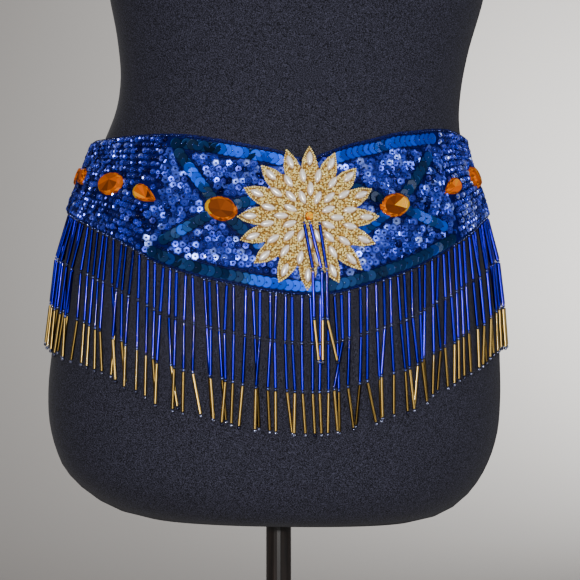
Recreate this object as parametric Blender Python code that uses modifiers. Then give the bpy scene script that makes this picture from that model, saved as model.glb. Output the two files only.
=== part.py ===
"""Belly dance hip belt worn by a limbless dress form on a pole and a round foot.

Metres, +Z up, the belt's front towards -Y. The origin is the middle of the foot's underside.
"Left" and "right" are as seen from the front: left is -X.

Every piece of the belt is laid out in belt places: `along` runs round the belt from the middle
of the form's front, positive to the right, and `height` is the height on the upright form.
skin_point turns a belt place and a distance off the form into a point in space.
"""
import math
import random

import bmesh
import bpy
import numpy as np
from mathutils import Vector

# ---- dress form, pole and foot -------------------------------------------------------------
FORM_FOOT = 0.787            # underside of the form above the ground
FORM_LEAN = math.radians(1.5)  # the form stands a little askew on its pole, towards +X
FORM_SQUARENESS = 2.3        # exponent of the oval sections: 2 is a plain ellipse
FORM_COLUMNS = 40
POLE_RADIUS = 0.010
POLE_SINK = 0.060            # length of the pole inside the form
FOOT_RADIUS = 0.200
FOOT_RISE = 0.012            # thickness of the foot, and the floor of its socket
FOOT_BOSS_TOP = 0.050
SLIP = 0.0003                # gap between pieces that meet

# height, half width, depth in front, depth behind, shift towards +X
FORM_SECTIONS = (
    (0.787, 0.084, 0.056, 0.062, 0.000),
    (0.789, 0.108, 0.074, 0.082, 0.000),
    (0.794, 0.127, 0.088, 0.096, -0.001),
    (0.801, 0.141, 0.096, 0.106, -0.002),
    (0.811, 0.1535, 0.103, 0.115, -0.0035),
    (0.825, 0.165, 0.108, 0.121, -0.005),
    (0.840, 0.172, 0.110, 0.124, -0.005),
    (0.858, 0.177, 0.112, 0.126, -0.005),
    (0.885, 0.179, 0.113, 0.127, -0.005),    # widest part of the hips
    (0.915, 0.1775, 0.112, 0.126, -0.0045),
    (0.945, 0.175, 0.111, 0.124, -0.004),
    (0.975, 0.172, 0.110, 0.121, -0.005),
    (1.000, 0.168, 0.109, 0.118, -0.005),
    (1.025, 0.163, 0.107, 0.113, -0.005),
    (1.045, 0.156, 0.105, 0.107, -0.004),
    (1.065, 0.148, 0.102, 0.100, -0.004),
    (1.085, 0.141, 0.099, 0.093, -0.003),
    (1.105, 0.136, 0.097, 0.088, -0.001),
    (1.130, 0.135, 0.096, 0.085, 0.001),     # waist
    (1.160, 0.139, 0.098, 0.085, 0.002),
    (1.198, 0.148, 0.104, 0.088, 0.003),
    (1.245, 0.156, 0.118, 0.092, 0.003),
    (1.285, 0.160, 0.127, 0.095, 0.003),     # bust
    (1.325, 0.162, 0.122, 0.098, 0.002),
    (1.365, 0.166, 0.108, 0.100, 0.001),
    (1.400, 0.167, 0.094, 0.098, 0.000),
    (1.425, 0.156, 0.082, 0.092, 0.000),     # shoulders
    (1.445, 0.127, 0.070, 0.082, 0.000),
    (1.462, 0.094, 0.060, 0.070, 0.000),
    (1.480, 0.069, 0.054, 0.060, 0.000),
    (1.500, 0.057, 0.051, 0.055, 0.000),
    (1.545, 0.053, 0.049, 0.052, 0.000),     # top of the neck
)

# ---- belt ----------------------------------------------------------------------------------
WALL = 0.0025                # cloth, buckram and lining as one wall
WALL_STEP = 0.012            # length of one wall column
WALL_ROWS = 5
GIRTH_HEIGHT = 1.020         # height and offset of the line that `along` is measured on
GIRTH_OFFSET = 0.004
SEAM_LEFT = -0.113           # where the front piece meets the two wings
SEAM_RIGHT = 0.129
BELT_MIDDLE = 0.007          # the belt is worn turned a little to the right
CLOSURE_GAP = 0.004          # between the wings' ends at the middle of the back

# place along the belt, height of its top edge, height of its bottom edge
BELT_EDGES = (
    (-0.460, 1.083, 1.031),
    (-0.340, 1.080, 1.029),
    (-0.230, 1.078, 1.026),
    (-0.190, 1.077, 1.020),
    (-0.155, 1.078, 1.010),
    (-0.126, 1.079, 0.999),
    (-0.104, 1.079, 0.988),
    (-0.074, 1.076, 0.978),
    (-0.044, 1.072, 0.972),
    (-0.022, 1.069, 0.968),
    (0.006, 1.063, 0.966),
    (0.022, 1.069, 0.967),
    (0.044, 1.076, 0.973),
    (0.062, 1.080, 0.979),
    (0.086, 1.086, 0.988),
    (0.103, 1.088, 0.996),
    (0.126, 1.091, 1.007),
    (0.150, 1.092, 1.018),
    (0.174, 1.090, 1.028),
    (0.200, 1.089, 1.032),
    (0.260, 1.088, 1.033),
    (0.340, 1.086, 1.032),
    (0.460, 1.083, 1.031),
)

# place along the belt, gap to the form at the top edge, gap at the bottom edge
BELT_EASE = (
    (-0.460, 0.0009, 0.0009),
    (-0.400, 0.0009, 0.0009),
    (-0.330, 0.0018, 0.0011),
    (-0.230, 0.0050, 0.0018),
    (-0.160, 0.0038, 0.0014),
    (-0.080, 0.0010, 0.0009),
    (-0.040, 0.0009, 0.0009),
    (0.000, 0.0009, 0.0009),
    (0.460, 0.0009, 0.0009),
)

# ---- trimmings -----------------------------------------------------------------------------
BINDING_HEIGHT = 0.0022
BAND_WIDTH = 0.0072
BAND_RISE = 0.0010
BAND_INSET = 0.0012          # from the belt's edge to the sequin band that follows it
BAND_STEP = 0.008
ARM_START = 0.30             # share of a band's width between a large stone and its four arms
BAND_LEFT = -0.106           # ends of the sequin bands along the edges
BAND_RIGHT = 0.121
BAND_INNER = (-0.0190, 0.0265)   # ends of the two bands along the top edge, at the medallion
MEDALLION_PLACE = (0.006, 1.022)
MEDALLION_RADIUS = 0.053
MEDALLION_VALLEY = 0.036     # radius between two petals
MEDALLION_PETALS = 16
MEDALLION_RINGS = (0.0050, 0.0102, 0.0154, 0.0205, 0.0256, 0.0308)
MEDALLION_BACK_RINGS = (0.0310, 0.0160)
PETAL_PEARL_RADIUS = 0.0425  # of the pearl ridges in the petals
MEDALLION_SEED = 7
PETAL_STRAY = (2.5, 0.0012)  # how far a petal strays in degrees and in length, as hand work does
BEADED_EDGE = 0.0018         # width of the beaded edge between two petals
MEDALLION_LIFT = 0.0017      # off the wall, over the sequin bands
MEDALLION_RISE = 0.0014
MEDALLION_DOME = 0.0008
PEARL_RISE = 0.0016

OVAL = (0.025, 0.018, 0.0042)       # length, width and height of the large stones
TEARDROP = (0.0225, 0.0125, 0.0036)
TEARDROP_POINT = 1.2                # how sharply a teardrop draws to its tip
TEARDROP_FULLNESS = 1.32            # brings its widest place back to the full width
CENTRE_STONE = (0.0066, 0.0066, 0.0030)
STONE_COLUMNS = 12
# share of the outline, share of the height
STONE_PROFILE = ((1.00, 0.00), (1.00, 0.25), (0.80, 0.68), (0.48, 1.00))
OVAL_LEFT = (-0.059, 1.026, -15.0)  # place, height, turn in degrees
OVAL_RIGHT = (0.074, 1.033, 15.0)
# places of the stones on each wing, teardrops and ovals in turn, from the front to the back
SIDE_STONES_LEFT = (-0.120, -0.155, -0.201, -0.247, -0.283, -0.319, -0.355, -0.391, -0.427)
SIDE_STONES_RIGHT = (0.133, 0.178, 0.222, 0.262, 0.297, 0.332, 0.367, 0.402, 0.437)
FIRST_STONE_SHARE = 0.475           # share of the belt's height under the first stone's middle
SIDE_STONE_SHARE = 0.497            # and under the middles of the others
TEARDROP_TURN = 28.0

# end of each arm of the crossed sequin bands, which starts under a large oval stone
ARMS_LEFT = ((-0.1005, 1.0665), (-0.0980, 1.0025), (-0.0300, 1.0010), (-0.0320, 1.0345))
ARMS_RIGHT = ((0.1130, 1.0710), (0.1140, 1.0190), (0.0420, 1.0095), (0.0430, 1.0440))

# ---- fringe and tassel ---------------------------------------------------------------------
STRIP_HEIGHT = 0.0013
STRAND_PITCH = 0.0059
STRAND_WIDTH = 0.0026
STRAND_KNEES = (0.0355, 0.0712, 0.1044)   # lengths down to the knees and the tip
STRAND_SHIFT = 0.0015                     # how far a root strays along the strip
STRAND_CLEARANCE = 0.0024                 # of a strand's middle line off the form
STRAND_LEVEL = 0.0030                     # between a strand and one that lies across it
STRAND_TOUCH = 0.0030                     # least gap between two middle lines side by side
STRAND_STRAY = (0.0013, 0.0019, 0.0030)   # spread of the sways at the knees and the tip
STRAND_SWAY_MOST = 0.0070                 # and the most that any of them comes to
STRAND_FOLLOW = 1.3                       # sway of the second knee for a sway of the first
STRAND_CALM = 0.4                         # share of the most, for each place in from an end
STRAND_TAPER = 0.94                       # of a strand's section from one knee to the next
TASSEL_WIDTH = 0.0026
TASSEL_KNEES = (0.0365, 0.0722, 0.1055)
TASSEL_OFFSET = 0.0108                    # of the strands' middle line off the form
TASSEL_HEAD_HEIGHT = 0.0030
TASSEL_HEAD_MARGIN = 0.0008               # past the outer sides of the first and last strand
# shifts of each tassel strand's root, two knees and tip from the medallion's middle
TASSEL_STRANDS = (
    (-0.0044, 0.0020, 0.0026, 0.0060),
    (-0.0003, 0.0083, 0.0088, 0.0087),
    (0.0066, 0.0118, 0.0119, 0.0196),
)

HOOKS = 3
HOOK_SIZE = (0.014, 0.004, 0.0010)

COLOURS = {
    # base colour, roughness, metallic
    "form_cloth": ((0.024, 0.026, 0.033), 0.90, 0.0),
    "dark_wood": ((0.030, 0.014, 0.008), 0.35, 0.0),
    "foot_paint": ((0.012, 0.012, 0.013), 0.45, 0.0),
    "belt_cloth": ((0.010, 0.018, 0.160), 0.60, 0.0),
    "navy_binding": ((0.006, 0.006, 0.045), 0.55, 0.0),
    "blue_sequin": ((0.004, 0.070, 0.420), 0.20, 0.3),
    "amber_stone": ((0.700, 0.150, 0.010), 0.08, 0.0),
    "gold_work": ((0.620, 0.370, 0.090), 0.32, 0.9),
    "blue_bead": ((0.006, 0.012, 0.420), 0.15, 0.0),
    "hook_steel": ((0.450, 0.450, 0.460), 0.30, 1.0),
}


# ---- tables and the form's surface ---------------------------------------------------------
class Curve:
    """A smooth curve through the columns of a table, whose first column is the place."""

    def __init__(self, rows):
        table = np.array(rows)
        self.places = table[:, 0]
        self.values = table[:, 1:]
        self.slopes = np.gradient(self.values, self.places, axis=0)

    def at(self, place):
        left = int(self.places.searchsorted(place)) - 1
        left = min(max(left, 0), len(self.places) - 2)
        span = self.places[left + 1] - self.places[left]
        t = (place - self.places[left]) / span
        ends = self.values[left] * (1 + 2 * t) + self.slopes[left] * span * t
        other = self.values[left + 1] * (3 - 2 * t) - self.slopes[left + 1] * span * (1 - t)
        return ends * (1 - t) ** 2 + other * t * t


FORM_CURVE = Curve(FORM_SECTIONS)
EDGE_CURVE = Curve(BELT_EDGES)
EASE_CURVE = Curve(BELT_EASE)


def leaned(x, y, z):
    """A point of the upright form, moved to where the leaning form has it."""
    rise = z - FORM_FOOT
    return Vector((
        x * math.cos(FORM_LEAN) + rise * math.sin(FORM_LEAN),
        y,
        FORM_FOOT + rise * math.cos(FORM_LEAN) - x * math.sin(FORM_LEAN),
    ))


def upright(point):
    """The inverse of leaned."""
    rise = point.z - FORM_FOOT
    return Vector((
        point.x * math.cos(FORM_LEAN) - rise * math.sin(FORM_LEAN),
        point.y,
        FORM_FOOT + rise * math.cos(FORM_LEAN) + point.x * math.sin(FORM_LEAN),
    ))


def section(height):
    """Half width, front depth, back depth and shift of the form at a height."""
    return FORM_CURVE.at(height)


def oval_point(turn, height, offset):
    """Point of the upright form's section at an angle from the front, moved out by offset."""
    half_width, front, back, shift = section(height)
    side = math.sin(turn)
    ahead = math.cos(turn)
    power = FORM_SQUARENESS
    reach = (abs(side) ** power + abs(ahead) ** power) ** (-1 / power)
    depth = front if ahead > 0 else back
    return (
        shift + (half_width + offset) * side * reach,
        -(depth + offset) * ahead * reach,
        height,
    )


def girth_table(count=1440):
    """Angles round the form, with their lengths along the girth line."""
    turns = np.linspace(-math.pi, math.pi, count + 1)
    points = np.array([oval_point(turn, GIRTH_HEIGHT, GIRTH_OFFSET)[:2] for turn in turns])
    steps = np.hypot(*np.diff(points, axis=0).T)
    lengths = np.concatenate(([0.0], np.cumsum(steps)))
    return turns, lengths - np.interp(0.0, turns, lengths)


GIRTH_TURNS, GIRTH_LENGTHS = girth_table()
BACK_LEFT = GIRTH_LENGTHS[0]
BACK_RIGHT = GIRTH_LENGTHS[-1]


def wrapped(along):
    """A place along the belt, brought back into the table's range past the middle of the back."""
    return (along - BACK_LEFT) % (BACK_RIGHT - BACK_LEFT) + BACK_LEFT


def skin_point(along, height, offset):
    """Point in space at a belt place, `offset` off the form."""
    turn = float(np.interp(wrapped(along), GIRTH_LENGTHS, GIRTH_TURNS))
    return leaned(*oval_point(turn, height, offset))


def edge_heights(along):
    """Top and bottom of the belt at a place along it."""
    return EDGE_CURVE.at(wrapped(along))


def belt_point(along, height, offset):
    """Point at a belt place, `offset` outside the wall's inner face."""
    top, bottom = edge_heights(along)
    share = min(max((height - bottom) / (top - bottom), 0.0), 1.0)
    at_top, at_bottom = EASE_CURVE.at(wrapped(along))
    return skin_point(along, height, at_bottom + (at_top - at_bottom) * share + offset)


def belt_axes(along, height):
    """Directions at a belt place: along the belt, up the belt, and straight out of it."""
    reach = 0.002
    side = belt_point(along + reach, height, WALL) - belt_point(along - reach, height, WALL)
    rise = belt_point(along, height + reach, WALL) - belt_point(along, height - reach, WALL)
    out = side.cross(rise).normalized()
    side.normalize()
    return side, out.cross(side), out


# ---- building tools ------------------------------------------------------------------------
def material(name):
    if name in bpy.data.materials:
        return bpy.data.materials[name]
    colour, roughness, metallic = COLOURS[name]
    made = bpy.data.materials.new(name)
    made.use_nodes = True
    shader = made.node_tree.nodes["Principled BSDF"]
    shader.inputs["Base Color"].default_value = (*colour, 1.0)
    shader.inputs["Roughness"].default_value = roughness
    shader.inputs["Metallic"].default_value = metallic
    return made


def add_object(name, mesh, finish, smooth_angle=30.0):
    made = bpy.data.objects.new(name, mesh)
    PARTS.objects.link(made)
    mesh.materials.append(material(finish))
    mesh.shade_smooth()
    mesh.set_sharp_from_angle(angle=math.radians(smooth_angle))
    return made


def mesh_from(name, edit):
    """A mesh of the edited faces, with all of them facing out."""
    bmesh.ops.recalc_face_normals(edit, faces=edit.faces)
    mesh = bpy.data.meshes.new(name)
    edit.to_mesh(mesh)
    edit.free()
    return mesh


def bridge(edit, ring, other):
    """Faces between two rings of vertices that run the same way round."""
    count = len(ring)
    for i in range(count):
        j = (i + 1) % count
        edit.faces.new((ring[i], ring[j], other[j], other[i]))


def close(edit, ring):
    """A strip of faces over a ring of vertices, from its first and last to its middle ones."""
    count = len(ring)
    for i in range(count // 2 - 1):
        edit.faces.new((ring[i], ring[i + 1], ring[count - 2 - i], ring[count - 1 - i]))


def loft(name, rings, finish, smooth_angle=30.0):
    """A closed body through rings of points, closed over its first and last ring."""
    edit = bmesh.new()
    made = [[edit.verts.new(point) for point in ring] for ring in rings]
    for ring, other in zip(made, made[1:]):
        bridge(edit, ring, other)
    close(edit, made[0])
    close(edit, made[-1])
    return add_object(name, mesh_from(name, edit), finish, smooth_angle)


def stations(start, stop, step):
    """Evenly spaced places from start to stop, about a step apart."""
    count = max(1, round(abs(stop - start) / step))
    return [start + (stop - start) * i / count for i in range(count + 1)]


# ---- dress form ----------------------------------------------------------------------------
def add_form():
    """The smooth torso: a socket for the pole, then the sections up to the neck."""
    turns = [2 * math.pi * i / FORM_COLUMNS for i in range(FORM_COLUMNS)]
    socket = (POLE_RADIUS + SLIP) / math.cos(math.pi / FORM_COLUMNS)
    socket_ring = [(socket * math.sin(turn), -socket * math.cos(turn)) for turn in turns]
    heights = [row[0] for row in FORM_SECTIONS]
    rings = [
        [(x, y, FORM_FOOT + POLE_SINK) for x, y in socket_ring],
        [(x, y, FORM_FOOT) for x, y in socket_ring],
    ]
    for height in heights:
        rings.append([leaned(*oval_point(turn, height, 0.0)) for turn in turns])
    loft("form_torso", rings, "form_cloth", 40.0)


def add_pole():
    bottom = FOOT_RISE + SLIP
    top = FORM_FOOT + POLE_SINK - SLIP
    bpy.ops.mesh.primitive_cylinder_add(
        vertices=24, radius=POLE_RADIUS, depth=top - bottom, location=(0, 0, (top + bottom) / 2))
    pole = bpy.context.object
    pole.name = "stand_pole"
    for group in list(pole.users_collection):
        group.objects.unlink(pole)
    PARTS.objects.link(pole)
    pole.data.materials.append(material("dark_wood"))
    pole.data.shade_smooth()
    pole.data.set_sharp_from_angle(angle=math.radians(30))


def add_foot():
    """Turned foot: socket floor, socket, boss, and a low cone out to the rim."""
    socket = (POLE_RADIUS + SLIP) / math.cos(math.pi / 48)
    profile = (
        (0.0, FOOT_RISE),
        (socket, FOOT_RISE),
        (socket, FOOT_BOSS_TOP),
        (0.026, FOOT_BOSS_TOP),
        (0.030, FOOT_BOSS_TOP - 0.004),
        (0.034, 0.024),
        (0.060, 0.018),
        (FOOT_RADIUS - 0.006, FOOT_RISE - 0.002),
        (FOOT_RADIUS, FOOT_RISE - 0.006),
        (FOOT_RADIUS, 0.0),
        (0.0, 0.0),
    )
    mesh = bpy.data.meshes.new("stand_foot")
    edges = [(i, i + 1) for i in range(len(profile) - 1)]
    mesh.from_pydata([(x, 0.0, z) for x, z in profile], edges, [])
    foot = add_object("stand_foot", mesh, "foot_paint")
    turn = foot.modifiers.new("turned", "SCREW")
    turn.steps = 48
    turn.render_steps = 48
    turn.use_merge_vertices = True
    turn.merge_threshold = 0.0001
    turn.use_smooth_shade = True


# ---- belt walls ----------------------------------------------------------------------------
def wall_ring(along):
    """Section across the wall: up its inner face and down its outer face."""
    top, bottom = edge_heights(along)
    inner = []
    outer = []
    for row in range(WALL_ROWS + 1):
        height = bottom + (top - bottom) * row / WALL_ROWS
        inner.append(belt_point(along, height, 0.0))
        outer.append(belt_point(along, height, WALL))
    return inner + outer[::-1]


def add_wall(name, start, stop):
    rings = [wall_ring(along) for along in stations(start, stop, WALL_STEP)]
    loft(name, rings, "belt_cloth", 50.0)


def add_binding():
    """Narrow binding over the whole top edge, open at the closure."""
    start = BACK_LEFT + BELT_MIDDLE + CLOSURE_GAP / 2
    stop = BACK_RIGHT + BELT_MIDDLE - CLOSURE_GAP / 2
    rings = []
    for along in stations(start, stop, WALL_STEP):
        low = edge_heights(along)[0] + SLIP
        corners = ((low, 0.0), (low + BINDING_HEIGHT, 0.0), (low + BINDING_HEIGHT, WALL), (low, WALL))
        rings.append([belt_point(along, height, offset) for height, offset in corners])
    loft("binding_top", rings, "navy_binding", 50.0)


# ---- sequin bands --------------------------------------------------------------------------
def add_band(name, line):
    """A flat strip on the wall along a line of belt places."""
    rings = []
    for i, (along, height) in enumerate(line):
        before = line[max(i - 1, 0)]
        after = line[min(i + 1, len(line) - 1)]
        run = math.hypot(after[0] - before[0], after[1] - before[1])
        across = (-(after[1] - before[1]) / run, (after[0] - before[0]) / run)
        ring = []
        for side, rise in ((-1, 0), (1, 0), (1, 1), (-1, 1)):
            place = along + across[0] * side * BAND_WIDTH / 2
            level = height + across[1] * side * BAND_WIDTH / 2
            ring.append(belt_point(place, level, WALL + SLIP + rise * BAND_RISE))
        rings.append(ring)
    loft(name, rings, "blue_sequin", 50.0)


def edge_line(start, stop, top_edge):
    """Places of a band that follows the belt's top or bottom edge."""
    line = []
    for along in stations(start, stop, BAND_STEP):
        top, bottom = edge_heights(along)
        inset = BAND_INSET + BAND_WIDTH / 2
        line.append((along, top - inset if top_edge else bottom + inset))
    return line


def oval_reach(direction, stone, turn):
    """Distance from an oval stone's middle to its outline in a direction."""
    angle = math.atan2(direction[1], direction[0]) - math.radians(turn)
    long_half = stone[0] / 2
    short_half = stone[1] / 2
    return 1 / math.hypot(math.cos(angle) / long_half, math.sin(angle) / short_half)


def add_arms(side_name, stone_place, ends):
    """The four arms of one crossing, from under its stone's rim outwards."""
    along, height, turn = stone_place
    for i, (end_along, end_height) in enumerate(ends):
        run = math.hypot(end_along - along, end_height - height)
        direction = ((end_along - along) / run, (end_height - height) / run)
        start = oval_reach(direction, OVAL, turn) + BAND_WIDTH * ARM_START
        line = [(along + direction[0] * reach, height + direction[1] * reach)
                for reach in stations(start, run, BAND_STEP)]
        add_band(f"sequin_arm_{side_name}_{i + 1}", line)


# ---- stones --------------------------------------------------------------------------------
def stone_outline(size, teardrop):
    """Outline of a stone, its length along the first axis and a teardrop's tip at its end."""
    points = []
    for i in range(STONE_COLUMNS):
        angle = 2 * math.pi * i / STONE_COLUMNS
        x = math.cos(angle)
        y = math.sin(angle)
        if teardrop:
            y *= TEARDROP_FULLNESS * abs(math.sin(angle / 2)) ** TEARDROP_POINT
        points.append((x * size[0] / 2, y * size[1] / 2))
    return points


def add_stone(name, along, height, size, turn=0.0, teardrop=False, lift=SLIP):
    """A rigid flat-backed stone on the wall, turned in the wall's plane."""
    side, rise, out = belt_axes(along, height)
    middle = belt_point(along, height, WALL) + out * lift
    angle = math.radians(turn)
    length_axis = side * math.cos(angle) + rise * math.sin(angle)
    width_axis = rise * math.cos(angle) - side * math.sin(angle)
    outline = stone_outline(size, teardrop)
    rings = []
    for share, level in STONE_PROFILE:
        rings.append([
            middle + length_axis * (x * share) + width_axis * (y * share) + out * (level * size[2])
            for x, y in outline
        ])
    loft(name, rings, "amber_stone", 5.0)


def add_side_stones(side_name, places):
    """Teardrops and ovals in turn, from the front round to the back."""
    for i, along in enumerate(places):
        top, bottom = edge_heights(along)
        share = FIRST_STONE_SHARE if i == 0 else SIDE_STONE_SHARE
        height = bottom + (top - bottom) * share
        teardrop = i % 2 == 0
        turn = 0.0
        if teardrop:
            turn = -TEARDROP_TURN if along < 0 else 180.0 + TEARDROP_TURN
        size = TEARDROP if teardrop else OVAL
        add_stone(f"stone_{side_name}_{i + 1}", along, height, size, turn, teardrop)


# ---- medallion -----------------------------------------------------------------------------
def medallion_relief(radius, column):
    """Height of the medallion's face: a low dome, with pearl ridges on every other column."""
    dome = MEDALLION_DOME * (1 - (radius / MEDALLION_RADIUS) ** 2)
    on_petal = column % 2 == 0
    on_quarter = column % 4 == 0
    pearl_rows = (
        (PETAL_PEARL_RADIUS, on_petal),
        (MEDALLION_RINGS[5], not on_petal),
        (MEDALLION_RINGS[3], on_quarter),
        (MEDALLION_RINGS[2], column % 4 == 2),
    )
    pearl = any(abs(radius - row) < 0.001 and here for row, here in pearl_rows)
    return MEDALLION_RISE + dome + (PEARL_RISE if pearl else 0.0)


def petal_table():
    """How far each petal is turned from its regular place, and how far out its tip is."""
    rng = random.Random(MEDALLION_SEED)
    turn, length = PETAL_STRAY
    rows = []
    for _ in range(MEDALLION_PETALS):
        rows.append((
            math.radians(rng.uniform(-turn, turn)),
            MEDALLION_RADIUS + rng.uniform(-length, length),
        ))
    return rows


def add_medallion():
    """Star of pointed petals, from the belt's own points moved out."""
    columns = 2 * MEDALLION_PETALS
    along, height = MEDALLION_PLACE
    petals = petal_table()
    edit = bmesh.new()

    def place(radius, column, level):
        angle = 2 * math.pi * column / columns
        if column % 2 == 0:
            angle += petals[column // 2][0] * (radius / MEDALLION_RADIUS) ** 2
        return edit.verts.new(belt_point(
            along + radius * math.sin(angle),
            height + radius * math.cos(angle),
            WALL + MEDALLION_LIFT + level,
        ))

    def rim(column):
        return petals[column // 2][1] if column % 2 == 0 else MEDALLION_VALLEY

    face_rings = []
    for radius in MEDALLION_RINGS:
        face_rings.append([place(radius, c, medallion_relief(radius, c)) for c in range(columns)])
    pearl_ring = []
    for column in range(columns):
        radius = PETAL_PEARL_RADIUS if column % 2 == 0 else MEDALLION_VALLEY - BEADED_EDGE
        pearl_ring.append(place(radius, column, medallion_relief(radius, column)))
    face_rings.append(pearl_ring)
    face_rings.append([place(rim(c), c, MEDALLION_RISE) for c in range(columns)])
    back_rings = [[place(rim(c), c, 0.0) for c in range(columns)]]
    for radius in MEDALLION_BACK_RINGS:
        back_rings.append([place(radius, c, 0.0) for c in range(columns)])
    rings = face_rings + back_rings
    for ring, other in zip(rings, rings[1:]):
        bridge(edit, ring, other)
    close(edit, rings[0])
    close(edit, rings[-1])
    add_object("medallion", mesh_from("medallion", edit), "gold_work", 20.0)


# ---- fringe and tassel ---------------------------------------------------------------------
def outside(point, offset):
    """Whether a point is outside the leaning form grown by offset."""
    flat = upright(point)
    half_width, front, back, shift = section(flat.z)
    depth = front if flat.y < 0 else back
    side = abs(flat.x - shift) / (half_width + offset)
    ahead = abs(flat.y) / (depth + offset)
    return side ** FORM_SQUARENESS + ahead ** FORM_SQUARENESS >= 1.0


def hanging_line(root, out, lengths, clearance, level, sways):
    """Points down a strand that hangs plumb, but is pushed out where the form is in its way.

    The knees and the tip sway to the side, and lie a level further out on a neighbour.
    """
    reach = 0.0
    points = []
    side = Vector((-out.y, out.x, 0.0))
    for length, sway in zip(lengths, sways):
        drop = root - Vector((0, 0, length))
        while not outside(drop + out * reach, clearance):
            reach += 0.0002
        points.append(drop + out * (reach + level) + side * sway)
    return points


def strand_rows(start, stop, seed):
    """Places of the root, the knees and the tip of each strand in a row, and its level.

    A strand that comes to lie across its neighbour lies on top of it, or under it. The ones
    at the row's ends hang straight, clear of the next row.
    """
    count = round((stop - start) / STRAND_PITCH)
    pitch = (stop - start - SLIP) / count
    rng = random.Random(seed)
    rows = []
    for i in range(count):
        stray = rng.uniform(-STRAND_SHIFT, STRAND_SHIFT)
        place = start + SLIP / 2 + pitch * (i + 0.5) + stray
        first = rng.gauss(0.0, STRAND_STRAY[0])
        second = STRAND_FOLLOW * first + rng.gauss(0.0, STRAND_STRAY[1])
        tip = second + rng.gauss(0.0, STRAND_STRAY[2])
        most = STRAND_SWAY_MOST * min(1.0, STRAND_CALM * i, STRAND_CALM * (count - 1 - i))
        spots = [place] + [place + max(-most, min(sway, most)) for sway in (first, second, tip)]
        level = 0
        if rows:
            last = rows[-1][0]
            spots[1] = max(spots[1], last[1] + STRAND_TOUCH)
            near = min(spots[2] - last[2], spots[3] - last[3]) < STRAND_TOUCH
            level = 1 if near and rows[-1][1] == 0 else 0
        if len(rows) > 1:
            before = rows[-2][0]
            spots[2] = max(spots[2], before[2] + STRAND_TOUCH)
            spots[3] = max(spots[3], before[3] + STRAND_TOUCH)
        rows.append((spots, level))
    return rows


def add_strands(name, start, stop, rows, width, ring_at, knees, clearance):
    """A narrow strip, and strands that are drawn down out of its underside.

    ring_at gives the strip's section at a place: inner top, outer top, outer low, inner low.
    """
    edit = bmesh.new()
    rings = [[edit.verts.new(p) for p in ring_at(start)]]
    roots = []
    for (along, *_), _ in rows:
        for place in (along - width / 2, along + width / 2):
            ring = [edit.verts.new(p) for p in ring_at(place)]
            bridge(edit, rings[-1], ring)
            rings.append(ring)
        edit.faces.ensure_lookup_table()
        roots.append(edit.faces[-2])
    last = [edit.verts.new(p) for p in ring_at(stop)]
    bridge(edit, rings[-1], last)
    close(edit, rings[0])
    close(edit, last)
    for (spots, level), root in zip(rows, roots):
        along = spots[0]
        middle = root.calc_center_median()
        corners = [vert.co - middle for vert in root.verts]
        side = skin_point(along + 0.001, middle.z, 0.0) - skin_point(along - 0.001, middle.z, 0.0)
        out = Vector((side.y, -side.x, 0.0)).normalized()
        sways = [spot - along for spot in spots[1:]]
        line = hanging_line(middle, out, knees, clearance, level * STRAND_LEVEL, sways)
        face = root
        for point in line:
            face = bmesh.ops.extrude_discrete_faces(edit, faces=[face])["faces"][0]
            for vert, corner in zip(face.verts, corners):
                vert.co = point + Vector((corner.x, corner.y, 0.0)) * STRAND_TAPER
    add_object(name, mesh_from(name, edit), "blue_bead", 40.0)


def fringe_ring(along):
    """Section of the fringe's strip, just under the belt's bottom edge."""
    high = edge_heights(along)[1] - SLIP
    low = high - STRIP_HEIGHT
    corners = ((high, 0.0), (high, WALL), (low, WALL), (low, 0.0))
    return [belt_point(along, height, offset) for height, offset in corners]


def add_fringe(name, start, stop, seed):
    add_strands(name, start + SLIP / 2, stop - SLIP / 2, strand_rows(start, stop, seed),
                STRAND_WIDTH, fringe_ring, STRAND_KNEES, STRAND_CLEARANCE)


def tassel_ring(along):
    """Section of the tassel's head, in front of the medallion below its stone."""
    high = MEDALLION_PLACE[1] - CENTRE_STONE[0] / 2 - SLIP
    low = high - TASSEL_HEAD_HEIGHT
    near = TASSEL_OFFSET - TASSEL_WIDTH / 2
    far = TASSEL_OFFSET + TASSEL_WIDTH / 2
    corners = ((high, near), (high, far), (low, far), (low, near))
    return [skin_point(along, height, offset) for height, offset in corners]


def add_tassel():
    rows = [([MEDALLION_PLACE[0] + shift for shift in row], 0) for row in TASSEL_STRANDS]
    reach = TASSEL_WIDTH / 2 + TASSEL_HEAD_MARGIN
    start = rows[0][0][0] - reach
    stop = rows[-1][0][0] + reach
    add_strands("tassel_centre", start, stop, rows, TASSEL_WIDTH, tassel_ring, TASSEL_KNEES,
                TASSEL_OFFSET)


# ---- closure -------------------------------------------------------------------------------
def add_hooks():
    """Flat hooks across the gap between the wings' ends."""
    along = BACK_LEFT + BELT_MIDDLE
    top, bottom = edge_heights(along)
    for i in range(HOOKS):
        height = bottom + (top - bottom) * (i + 0.5) / HOOKS
        rings = []
        for share in (-0.5, -0.25, 0.25, 0.5):
            place = along + share * HOOK_SIZE[0]
            low = height - HOOK_SIZE[1] / 2
            high = height + HOOK_SIZE[1] / 2
            near = WALL + SLIP
            far = near + HOOK_SIZE[2]
            corners = ((low, near), (high, near), (high, far), (low, far))
            rings.append([belt_point(place, level, offset) for level, offset in corners])
        loft(f"closure_hook_{i + 1}", rings, "hook_steel", 50.0)


# ---- build ---------------------------------------------------------------------------------
for old in list(bpy.data.objects):
    bpy.data.objects.remove(old, do_unlink=True)

PARTS = bpy.data.collections.new("hip_belt_on_form")
bpy.context.scene.collection.children.link(PARTS)

add_foot()
add_pole()
add_form()

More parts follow.
